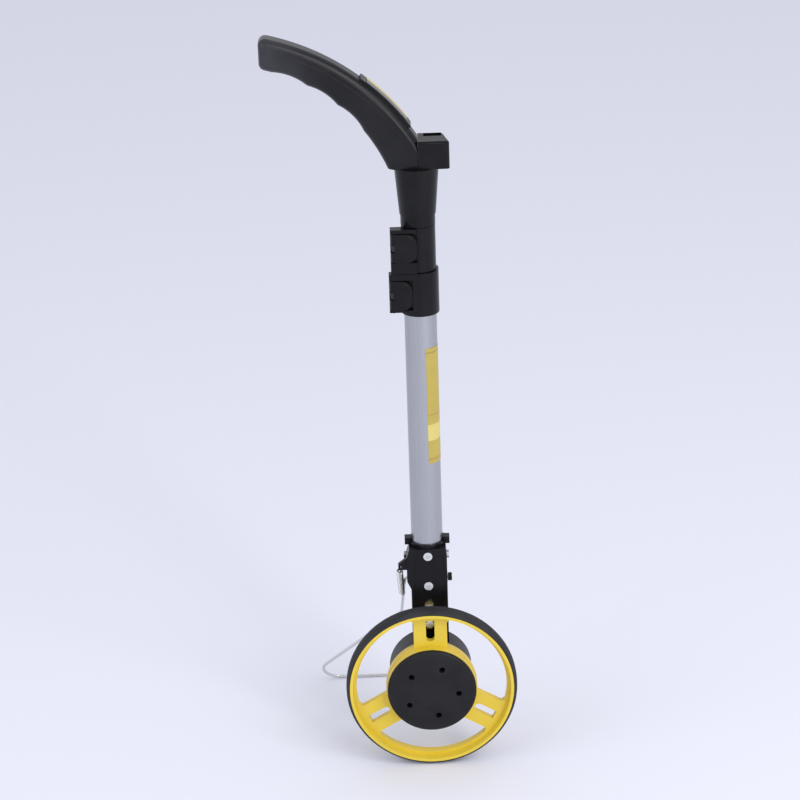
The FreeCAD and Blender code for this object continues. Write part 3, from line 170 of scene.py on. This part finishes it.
blackPlastic = makePlastic("blackPlastic", {
    "dark": (0.002, 0.002, 0.003), "light": (0.005, 0.005, 0.006),
    "cloudScale": 40, "grainScale": 2200, "rough": (0.24, 0.36),
    "bump": 0.25, "depth": 0.0001, "gloss": 0.22,
    "scuff": 0.35, "scuffScale": 300, "worn": (0.05, 0.05, 0.055)})
gripPlastic = makePlastic("gripPlastic", {
    "dark": (0.004, 0.004, 0.006), "light": (0.009, 0.009, 0.011),
    "cloudScale": 30, "grainScale": 2600, "rough": (0.26, 0.38),
    "bump": 0.25, "depth": 0.0001, "gloss": 0.27,
    "scuff": 0.25, "scuffScale": 260, "worn": (0.05, 0.05, 0.056)})
coverPlastic = makePlastic("coverPlastic", {
    "dark": (0.006, 0.006, 0.008), "light": (0.012, 0.012, 0.014),
    "cloudScale": 50, "grainScale": 2200, "rough": (0.40, 0.56),
    "bump": 0.25, "depth": 0.0001, "gloss": 0.25,
    "scuff": 0.6, "scuffScale": 320, "worn": (0.09, 0.09, 0.1)})
drumPlastic = makePlastic("drumPlastic", {
    "dark": (0.026, 0.027, 0.032), "light": (0.040, 0.041, 0.048),
    "cloudScale": 50, "grainScale": 2200, "rough": (0.45, 0.6),
    "bump": 0.25, "depth": 0.0001, "gloss": 0.4,
    "scuff": 0.3, "scuffScale": 300, "worn": (0.1, 0.1, 0.11)})
yellowPlastic = makePlastic("yellowPlastic", {
    "dark": (0.70, 0.52, 0.036), "light": (0.76, 0.565, 0.048),
    "cloudScale": 25, "grainScale": 1500, "rough": (0.28, 0.42),
    "bump": 0.1, "depth": 0.0001, "gloss": 0.5,
    "scuff": 0.3, "scuffScale": 260, "worn": (0.62, 0.43, 0.04)})
tyreRubber = makePlastic("tyreRubber", {
    "dark": (0.020, 0.020, 0.023), "light": (0.034, 0.034, 0.038),
    "cloudScale": 60, "grainScale": 1800, "rough": (0.6, 0.8),
    "bump": 0.4, "depth": 0.0002, "gloss": 0.28,
    "scuff": 0.6, "scuffScale": 420, "worn": (0.09, 0.088, 0.085)})
whitePlastic = makePlastic("whitePlastic", {
    "dark": (0.72, 0.72, 0.70), "light": (0.80, 0.80, 0.78),
    "cloudScale": 60, "grainScale": 1800, "rough": (0.35, 0.5),
    "bump": 0.05, "depth": 0.0001, "gloss": 0.4,
    "scuff": 0.1, "scuffScale": 300, "worn": (0.6, 0.6, 0.57)})


metalStreak = {"detail": 4, "range": (0.3, 0.7)}


def makeMetal(name, look):
    finish, tree, shader = startFinish(name)
    place = objectPlace(tree, look["stretch"])
    streak = noiseOf(tree, place, look["streakScale"], metalStreak["detail"])
    shade = spread(tree, streak, *metalStreak["range"])
    rough = spread(tree, streak, *metalStreak["range"], *look["rough"])
    colour = mixColour(tree, shade, opaque(look["dark"]), opaque(look["light"]))
    tree.links.new(colour, shader.inputs["Base Color"])
    tree.links.new(rough, shader.inputs["Roughness"])
    tree.links.new(bumpFrom(tree, streak, look["bump"], look["depth"]), shader.inputs["Normal"])
    shader.inputs["Metallic"].default_value = 1.0
    return finish


tubeAluminium = makeMetal("tubeAluminium", {
    "dark": (0.40, 0.41, 0.43), "light": (0.45, 0.46, 0.48), "stretch": (1, 1, 0.012),
    "streakScale": 1600, "rough": (0.26, 0.36), "bump": 0.05, "depth": 0.00005})
brightSteel = makeMetal("brightSteel", {
    "dark": (0.62, 0.62, 0.62), "light": (0.78, 0.78, 0.78), "stretch": (1, 1, 1),
    "streakScale": 1500, "rough": (0.18, 0.32), "bump": 0.1, "depth": 0.00005})
darkSteel = makeMetal("darkSteel", {
    "dark": (0.03, 0.03, 0.033), "light": (0.07, 0.07, 0.075), "stretch": (1, 1, 1),
    "streakScale": 1500, "rough": (0.3, 0.45), "bump": 0.1, "depth": 0.00005})
bearingBronze = makeMetal("bearingBronze", {
    "dark": (0.45, 0.26, 0.10), "light": (0.58, 0.36, 0.16), "stretch": (1, 1, 1),
    "streakScale": 2500, "rough": (0.35, 0.5), "bump": 0.2, "depth": 0.00005})


def makeWindow(name, look):
    finish, tree, shader = startFinish(name)
    haze = noiseOf(tree, objectPlace(tree), look["hazeScale"], look["hazeDetail"])
    rough = spread(tree, haze, *look["hazeRange"], *look["rough"])
    tree.links.new(rough, shader.inputs["Roughness"])
    shader.inputs["Base Color"].default_value = opaque(look["tint"])
    shader.inputs["Transmission Weight"].default_value = 1.0
    shader.inputs["IOR"].default_value = look["bending"]
    return finish


clearPlastic = makeWindow("clearPlastic", {
    "tint": (0.95, 0.97, 0.98), "bending": 1.49, "rough": (0.03, 0.10),
    "hazeScale": 400, "hazeDetail": 3, "hazeRange": (0.3, 0.7)})

filmWear = {
    "cloudScale": 60, "cloudDetail": 4, "cloudRange": (0.3, 0.7), "rough": (0.30, 0.46),
    "scuffStretch": (1, 1, 6), "scuffScale": 260, "scuffDetail": 6, "scuffBreak": 0.7,
    "scuffRange": (0.66, 0.76), "scuff": 0.35, "bump": 0.08, "depth": 0.0001}


def makePrinted(name, look):
    # a film printed in flat bands along one direction of the piece
    wear = filmWear
    finish, tree, shader = startFinish(name)
    place = objectPlace(tree)
    cloud = noiseOf(tree, place, wear["cloudScale"], wear["cloudDetail"])
    cloud = spread(tree, cloud, *wear["cloudRange"])
    ground = mixColour(tree, cloud, opaque(look["dark"]), opaque(look["light"]))
    apart = tree.nodes.new("ShaderNodeSeparateXYZ")
    tree.links.new(place, apart.inputs["Vector"])
    for axis, first, last, ink in look["bands"]:
        at = apart.outputs[axis]
        inside = calculate(tree, "MULTIPLY", calculate(tree, "GREATER_THAN", at, first),
                           calculate(tree, "LESS_THAN", at, last))
        ground = mixColour(tree, inside, ground, opaque(ink))
    drawn = objectPlace(tree, wear["scuffStretch"])
    scuff = noiseOf(tree, drawn, wear["scuffScale"], wear["scuffDetail"], wear["scuffBreak"])
    shown = calculate(tree, "MULTIPLY", spread(tree, scuff, *wear["scuffRange"]), wear["scuff"])
    ground = mixColour(tree, shown, ground, opaque(look["worn"]))
    tree.links.new(ground, shader.inputs["Base Color"])
    tree.links.new(spread(tree, cloud, 0.0, 1.0, *wear["rough"]), shader.inputs["Roughness"])
    tree.links.new(bumpFrom(tree, cloud, wear["bump"], wear["depth"]), shader.inputs["Normal"])
    return finish


labelLook = {  # each band from and to a share of the label's height
    "brown": (0.40, 0.26, 0.06), "pale": (0.66, 0.55, 0.16),
    "bands": (("brown", 0.03, 0.045), ("brown", 0.955, 0.97), ("pale", 0.20, 0.34), ("brown", 0.42, 0.43))}
labelLow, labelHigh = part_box("tube_label")
foot, tall = labelLow[2], labelHigh[2] - labelLow[2]
labelFilm = makePrinted("labelFilm", {
    "dark": (0.44, 0.34, 0.060), "light": (0.50, 0.39, 0.072), "worn": (0.45, 0.36, 0.10),
    "bands": [("Z", foot + first * tall, foot + last * tall, labelLook[ink])
              for ink, first, last in labelLook["bands"]]})

plateLook = {"darkShare": 0.62, "dark": (0.16, 0.16, 0.17), "margin": 0.01}
plateLow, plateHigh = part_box("panel_plate")
split = plateLow[1] + plateLook["darkShare"] * (plateHigh[1] - plateLow[1])
plateFilm = makePrinted("plateFilm", {
    "dark": (0.58, 0.45, 0.075), "light": (0.66, 0.52, 0.09), "worn": (0.45, 0.36, 0.10),
    "bands": [("Y", plateLow[1] - plateLook["margin"], split, plateLook["dark"])]})


def paintedReflectionEnd(finish, low, look):
    # painted reflection: one end of the piece is painted paler, in blotches, where light would reflect off
    # it
    tree = finish.node_tree
    shader = next(node for node in tree.nodes if node.type == "BSDF_PRINCIPLED")
    before = shader.inputs["Base Color"].links[0].from_socket
    place = objectPlace(tree)
    apart = tree.nodes.new("ShaderNodeSeparateXYZ")
    tree.links.new(place, apart.inputs["Vector"])
    share = spread(tree, apart.outputs["X"], low, low + look["reach"], look["amount"], 0.0)
    blotch = noiseOf(tree, place, look["blotchScale"], look["blotchDetail"])
    blotch = spread(tree, blotch, *look["blotchRange"], *look["blotchShare"])
    pale = mixColour(tree, calculate(tree, "MULTIPLY", share, blotch), before, opaque(look["colour"]))
    tree.links.new(pale, shader.inputs["Base Color"])


# the grip's left end gets a painted reflection, a paler colour standing in for reflected light
paintedReflectionEnd(gripPlastic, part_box("grip_front")[0][0], {
    "reach": 0.055, "amount": 0.75, "colour": (0.060, 0.060, 0.070),
    "blotchScale": 55, "blotchDetail": 4, "blotchRange": (0.3, 0.7), "blotchShare": (0.6, 1.0)})

nodeFinish = {
    "tyre_rubber": tyreRubber, "yellow_plastic": yellowPlastic, "black_plastic": blackPlastic,
    "cover_plastic": coverPlastic, "drum_plastic": drumPlastic, "grip_plastic": gripPlastic,
    "tube_aluminium": tubeAluminium, "bright_steel": brightSteel, "dark_steel": darkSteel,
    "bearing_bronze": bearingBronze, "white_plastic": whitePlastic, "clear_plastic": clearPlastic}
ownFinish = {"tube_label": labelFilm, "panel_plate": plateFilm}  # the two printed pieces
print("finishes made for", len(nodeFinish), "slots and", len(ownFinish), "printed pieces")


modelling = {"startSize": 0.001, "weld": 0.000002, "smoothUnder": 40}


def clearSelection():
    for thing in list(bpy.context.selected_objects):
        thing.select_set(False)


def selectOnly(piece):
    clearSelection()
    piece.select_set(True)
    bpy.context.view_layer.objects.active = piece


def middleOf(name):
    low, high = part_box(name)
    return [(a + b) / 2 for a, b in zip(low, high)]


def startChain(name, points):
    # a vertex is drawn out from point to point and left in edit mode
    clearSelection()
    bpy.ops.mesh.primitive_plane_add(size=modelling["startSize"], location=points[0])
    piece = bpy.context.object
    piece.name = name
    bpy.ops.object.transform_apply(location=True, rotation=True, scale=True)
    bpy.ops.object.mode_set(mode="EDIT")
    bpy.ops.mesh.select_mode(type="VERT")
    bpy.ops.mesh.select_all(action="SELECT")
    bpy.ops.mesh.merge(type="CENTER")
    for before, after in zip(points, points[1:]):
        bpy.ops.mesh.extrude_region_move(TRANSFORM_OT_translate={"value": Vector(after) - Vector(before)})
    return piece


def turnPiece(name, profile, centre, finish, steps, sharp):
    # a closed profile of radius and depth, spun about the wheel's axle
    points = [(centre[0] + radius, depth, centre[2]) for radius, depth in profile]
    piece = startChain(name, points + points[:1])
    bpy.ops.mesh.select_all(action="SELECT")
    bpy.ops.mesh.remove_doubles(threshold=modelling["weld"])
    bpy.ops.mesh.select_all(action="SELECT")
    bpy.ops.mesh.spin(steps=steps, angle=math.tau, center=centre, axis=(0, 1, 0))
    bpy.ops.mesh.select_all(action="SELECT")
    bpy.ops.mesh.remove_doubles(threshold=modelling["weld"])
    bpy.ops.mesh.normals_make_consistent(inside=False)
    bpy.ops.object.mode_set(mode="OBJECT")
    piece.data.materials.append(finish)
    bpy.ops.object.shade_smooth_by_angle(angle=math.radians(sharp))
    return piece


def softenEdges(piece, width, segments, limit):
    selectOnly(piece)
    bevel = piece.modifiers.new("soft", "BEVEL")
    bevel.width = width
    bevel.segments = segments
    bevel.limit_method = "ANGLE"
    bevel.angle_limit = math.radians(limit)
    bpy.ops.object.modifier_apply(modifier="soft")
    bpy.ops.object.shade_smooth_by_angle(angle=math.radians(modelling["smoothUnder"]))


def cutAway(piece, cutter):
    selectOnly(piece)
    hollow = piece.modifiers.new("hollow", "BOOLEAN")
    hollow.operation = "DIFFERENCE"
    hollow.solver = "EXACT"
    hollow.object = cutter
    bpy.ops.object.modifier_apply(modifier="hollow")
    bpy.data.objects.remove(cutter)


def drawWire(name, points, thickness, finish, sides):
    # a round wire along the points, as a closed mesh
    line = bpy.data.curves.new(name, "CURVE")
    line.dimensions = "3D"
    line.bevel_depth = thickness
    line.bevel_resolution = sides
    line.use_fill_caps = True
    run = line.splines.new("POLY")
    run.points.add(len(points) - 1)
    for spot, point in zip(run.points, points):
        spot.co = (*point, 1)
    piece = bpy.data.objects.new(name, line)
    bpy.context.scene.collection.objects.link(piece)
    selectOnly(piece)
    bpy.ops.object.convert(target="MESH")
    piece = bpy.context.object
    piece.data.materials.append(finish)
    bpy.ops.object.shade_smooth()
    return piece


axle = middleOf("axle")
wheelPlace = (axle[0], 0, axle[2])

tyreLook = {
    "thick": 0.0033, "tuck": 0.0002, "shoulder": 0.0024, "crown": 0.0009,
    "bend": 0.0006, "bendIn": 0.0010, "treadIn": 0.0022, "steps": 160, "sharp": 30,
    "grooves": (0.28, 0.5, 0.72), "groove": 0.0006, "grooveWidth": 0.0011, "grooveFloor": 0.5}
low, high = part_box("tyre")
front, back = low[1], high[1]
outer = (high[0] - low[0]) / 2
inner, edge = outer - tyreLook["thick"], outer - tyreLook["crown"]
half = tyreLook["grooveWidth"] / 2
floorHalf = half * tyreLook["grooveFloor"]
# one side's corners, as radius and depth from that side's face
flank = [(inner, tyreLook["tuck"]), (outer - tyreLook["shoulder"], 0),
         (edge - tyreLook["bend"], tyreLook["bendIn"]), (edge, tyreLook["treadIn"])]
profile = [(radius, front + depth) for radius, depth in flank]
for share in tyreLook["grooves"]:  # each runs all round the tread
    at = front + share * (back - front)
    lift = outer - tyreLook["crown"] * (2 * share - 1) ** 2
    sunk = lift - tyreLook["groove"]
    profile += [(lift, at - half), (sunk, at - floorHalf), (sunk, at + floorHalf), (lift, at + half)]
profile += [(radius, back - depth) for radius, depth in reversed(flank)]
tyre = turnPiece("tyreBand", profile, wheelPlace, tyreRubber, tyreLook["steps"], tyreLook["sharp"])
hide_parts("tyre")
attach(tyre, "wheel")
print("tyre band with", len(tyreLook["grooves"]), "tread grooves")

coverLook = {
    "dome": [  # share of the radius and depth behind the middle: shallow, with a rounded edge
        (1.0, 0.0043), (0.992, 0.0034), (0.975, 0.0028), (0.93, 0.0022), (0.86, 0.0017),
        (0.76, 0.0012), (0.60, 0.0006), (0.35, 0.0001), (0.0, 0.0)],
    "tuck": 0.0002, "steps": 128, "sharp": 30,
    "holes": 5, "circle": 0.0248, "first": 67, "hole": 0.0025, "flare": 0.0004,
    "cutter": 0.03, "cutterIn": 0.006, "cutterSides": 32, "soft": 0.00035, "softOver": 50}
low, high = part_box("hub_cover")
front, back = low[1], high[1]
radius = (high[0] - low[0]) / 2
profile = [(share * radius, front + depth) for share, depth in coverLook["dome"]]
profile = [(radius - coverLook["tuck"], back), *profile, (0.0, back)]
cover = turnPiece("hubCover", profile, wheelPlace, coverPlastic, coverLook["steps"], coverLook["sharp"])
for i in range(coverLook["holes"]):
    turn = math.radians(coverLook["first"] + i * 360 / coverLook["holes"])
    spot = (wheelPlace[0] + coverLook["circle"] * math.cos(turn), front + coverLook["cutterIn"],
            wheelPlace[2] + coverLook["circle"] * math.sin(turn))
    clearSelection()
    bpy.ops.mesh.primitive_cone_add(
        vertices=coverLook["cutterSides"], depth=coverLook["cutter"],
        radius1=coverLook["hole"], radius2=coverLook["hole"] + coverLook["flare"],
        location=spot, rotation=(math.radians(90), 0, 0))
    bpy.ops.object.transform_apply(location=True, rotation=True, scale=True)
    cutAway(cover, bpy.context.object)
softenEdges(cover, coverLook["soft"], 2, coverLook["softOver"])
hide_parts("hub_cover")
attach(cover, "wheel")
print("hub cover with", coverLook["holes"], "screw wells")

springLook = {
    "wire": 0.0006, "coil": 0.0025, "turns": 30, "perTurn": 14, "sides": 3,
    "eye": 0.9, "standOff": 0.0015, "eyeFrom": -20, "eyeStep": 22, "eyePoints": 12, "tries": 6}
low, high = (Vector(corner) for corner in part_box("stand_spring"))
reach = springLook["coil"] + springLook["wire"]
# from its top end the coil runs down, to the back and a little to the right
size = high - low
drop, back = size.z, size.y
for _ in range(springLook["tries"]):  # its slope and its room in the box settle together
    slope = math.atan2(back, drop)
    drop, back = size.z - 2 * reach * math.sin(slope), size.y - 2 * reach * math.cos(slope)
along = Vector((size.x - 2 * reach, back, -drop))
half = along.length / 2
along.normalize()
middle = (low + high) / 2
side = along.cross(Vector((1, 0, 0))).normalized()
other = along.cross(side).normalized()
top, bottom = middle - along * half, middle + along * half


def springHook(end, out, flat):
    # a round eye that stands off the coil's end
    eye = springLook["coil"] * springLook["eye"]
    centre = end + out * springLook["standOff"]
    turns = [math.radians(springLook["eyeFrom"] + springLook["eyeStep"] * i)
             for i in range(springLook["eyePoints"])]
    return [centre + out * (eye * math.sin(turn)) + flat * (eye * math.cos(turn)) for turn in turns]


count = springLook["turns"] * springLook["perTurn"]
coil = []
for i in range(count + 1):
    share = i / count
    turn = share * springLook["turns"] * math.tau
    at = top + along * (share * 2 * half)
    coil.append(at + side * (springLook["coil"] * math.cos(turn))
                + other * (springLook["coil"] * math.sin(turn)))
points = list(reversed(springHook(top, -along, side))) + coil + springHook(bottom, along, side)
spring = drawWire("standSpring", points, springLook["wire"], brightSteel, springLook["sides"])
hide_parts("stand_spring")
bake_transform(spring)
print("stand spring wound with", springLook["turns"], "turns")

gripLook = {
    "ridge": 0.0005, "sunk": 0.00012, "reach": 0.1991, "first": 33, "last": 72, "steps": 40, "sides": 2,
    "leftOfGrip": 0.0435, "underSocket": 0.0835}  # where the ridge's arc has its centre
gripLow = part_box("grip_front")[0]
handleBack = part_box("grip_rear")[1][1]
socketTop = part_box("handle_socket")[1][2]
gripCentre = Vector((gripLow[0] - gripLook["leftOfGrip"], 0, socketTop - gripLook["underSocket"]))
for where, depth in (("front", gripLow[1] + gripLook["sunk"]), ("back", handleBack - gripLook["sunk"])):
    points = []
    for i in range(gripLook["steps"] + 1):
        share = i / gripLook["steps"]
        turn = math.radians(gripLook["first"] + (gripLook["last"] - gripLook["first"]) * share)
        off = Vector((gripLook["reach"] * math.cos(turn), depth, gripLook["reach"] * math.sin(turn)))
        points.append(gripCentre + off)
    ridge = drawWire("gripRidge_" + where, points, gripLook["ridge"], gripPlastic, gripLook["sides"])
    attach(ridge, "handle")
print("grip ridges")

leverLook = {
    "bead": 0.0007, "inset": 0.0024, "corner": 0.0066, "start": 0.0078, "sunk": 0.00025,
    "cornerSteps": 6, "sides": 3}
quarter = [math.radians(90 * i / leverLook["cornerSteps"]) for i in range(leverLook["cornerSteps"] + 1)]
for body in ("lower_lever", "upper_lever"):  # each lever is a body of its own
    low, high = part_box(body)
    edge, bend = leverLook["inset"], leverLook["corner"]
    left, right = low[0] + leverLook["start"], high[0] - edge
    down, up = low[2] + edge, high[2] - edge
    points = [(left, down)]
    points += [(right - bend + bend * math.sin(t), down + bend - bend * math.cos(t)) for t in quarter]
    points += [(right - bend + bend * math.cos(t), up - bend + bend * math.sin(t)) for t in quarter]
    points += [(left, up)]
    points = [(x, low[1] + leverLook["bead"] - leverLook["sunk"], z) for x, z in points]
    bead = drawWire(body + "Bead", points, leverLook["bead"], blackPlastic, leverLook["sides"])
    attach(bead, body)
print("framed faces of the two levers")

blockLook = {"bead": 0.0005, "sunk": 0.0002, "inset": 0.0016, "end": 0.002, "side": 0.0042, "sides": 3}
low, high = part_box("head_block")
front, rim = low[1] + blockLook["bead"] - blockLook["sunk"], high[2] - blockLook["inset"]
left, right = low[0] + blockLook["end"], high[0] - blockLook["side"]
points = [(left, front, rim), (right, front, rim), (right, front, low[2] + blockLook["end"])]
blockBead = drawWire("blockBead", points, blockLook["bead"], blackPlastic, blockLook["sides"])
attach(blockBead, "handle")
print("raised edge on the head block")

resetLook = {
    "wire": 0.0004, "turns": 9, "perTurn": 16, "sides": 2,
    "travel": 0.0025}  # how far the button goes in
low, high = (Vector(corner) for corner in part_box("reset_spring"))
coilRadius = (high.x - low.x) / 2 - resetLook["wire"]
middle = (low + high) / 2
count = resetLook["turns"] * resetLook["perTurn"]
span = high.y - low.y - 2 * resetLook["wire"]
points = []
for i in range(count + 1):
    turn = i / resetLook["perTurn"] * math.tau
    at = low.y + resetLook["wire"] + span * i / count
    points.append((middle.x + coilRadius * math.cos(turn), at, middle.z + coilRadius * math.sin(turn)))
resetSpring = drawWire("resetSpring", points, resetLook["wire"], brightSteel, resetLook["sides"])
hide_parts("reset_spring")
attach(resetSpring, "frame")
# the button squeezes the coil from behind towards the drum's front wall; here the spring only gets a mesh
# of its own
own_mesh(resetSpring)
print("reset spring wound with", resetLook["turns"], "turns")

view = {
    "place": (-0.00753, -2.30236, 1.28278), "down": 22.3603, "turn": 0.3391, "roll": -1.8582,
    "lens": 121.5, "sensor": 36, "far": 100}
camera = bpy.data.objects.new("camera", bpy.data.cameras.new("camera"))
bpy.context.scene.collection.objects.link(camera)
camera.location = view["place"]
turned = (Matrix.Rotation(math.radians(-view["turn"]), 3, "Z")
          @ Matrix.Rotation(math.radians(90 - view["down"]), 3, "X")
          @ Matrix.Rotation(math.radians(view["roll"]), 3, "Z"))
camera.rotation_euler = turned.to_euler()
camera.data.lens = view["lens"]
camera.data.sensor_width = view["sensor"]
camera.data.clip_end = view["far"]
bpy.context.scene.camera = camera

studio = {
    "floorSize": 60, "floorColour": (0.79, 0.80, 0.88), "floorRough": 0.9, "floorGloss": 0.1,
    "skyColour": (0.93, 0.94, 1.0), "sky": 0.83,
    "lamps": {
        "keyLight": {"power": 36, "size": 1.6, "place": (1.6, -2.0, 2.4), "aim": (0, 0, 0.3)},
        "stripLight": {"power": 7, "size": 0.35, "place": (1.1, -2.0, 0.9), "aim": (0, 0, 0.4)},
        "fillLight": {"power": 13, "size": 2.0, "place": (-2.2, -1.4, 1.6), "aim": (0, 0, 0.3)}}}
bpy.ops.mesh.primitive_plane_add(size=studio["floorSize"], location=(0, 0, 0))
floor = bpy.context.object
floor.name = "floor"
floorFinish, _, floorShader = startFinish("floorPaper")
floorShader.inputs["Base Color"].default_value = opaque(studio["floorColour"])
floorShader.inputs["Roughness"].default_value = studio["floorRough"]
floorShader.inputs["Specular IOR Level"].default_value = studio["floorGloss"]
floor.data.materials.append(floorFinish)

world = bpy.data.worlds.new("studio")
bpy.context.scene.world = world
world.use_nodes = True
sky = world.node_tree.nodes["Background"]
sky.inputs["Color"].default_value = opaque(studio["skyColour"])
sky.inputs["Strength"].default_value = studio["sky"]


def addLight(name, look):
    lamp = bpy.data.lights.new(name, "AREA")
    lamp.energy = look["power"]
    lamp.size = look["size"]
    holder = bpy.data.objects.new(name, lamp)
    bpy.context.scene.collection.objects.link(holder)
    holder.location = look["place"]
    aim = Vector(look["aim"]) - Vector(look["place"])
    holder.rotation_euler = aim.to_track_quat("-Z", "Y").to_euler()


for name, look in studio["lamps"].items():
    addLight(name, look)
bpy.context.scene.view_settings.view_transform = "Standard"
print("camera, floor and", len(studio["lamps"]), "lamps")

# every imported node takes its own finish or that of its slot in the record
for name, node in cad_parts.items():
    for i, slot in enumerate(node.data.materials):
        node.data.materials[i] = ownFinish.get(name) or nodeFinish[slot.name.split(".")[0]]
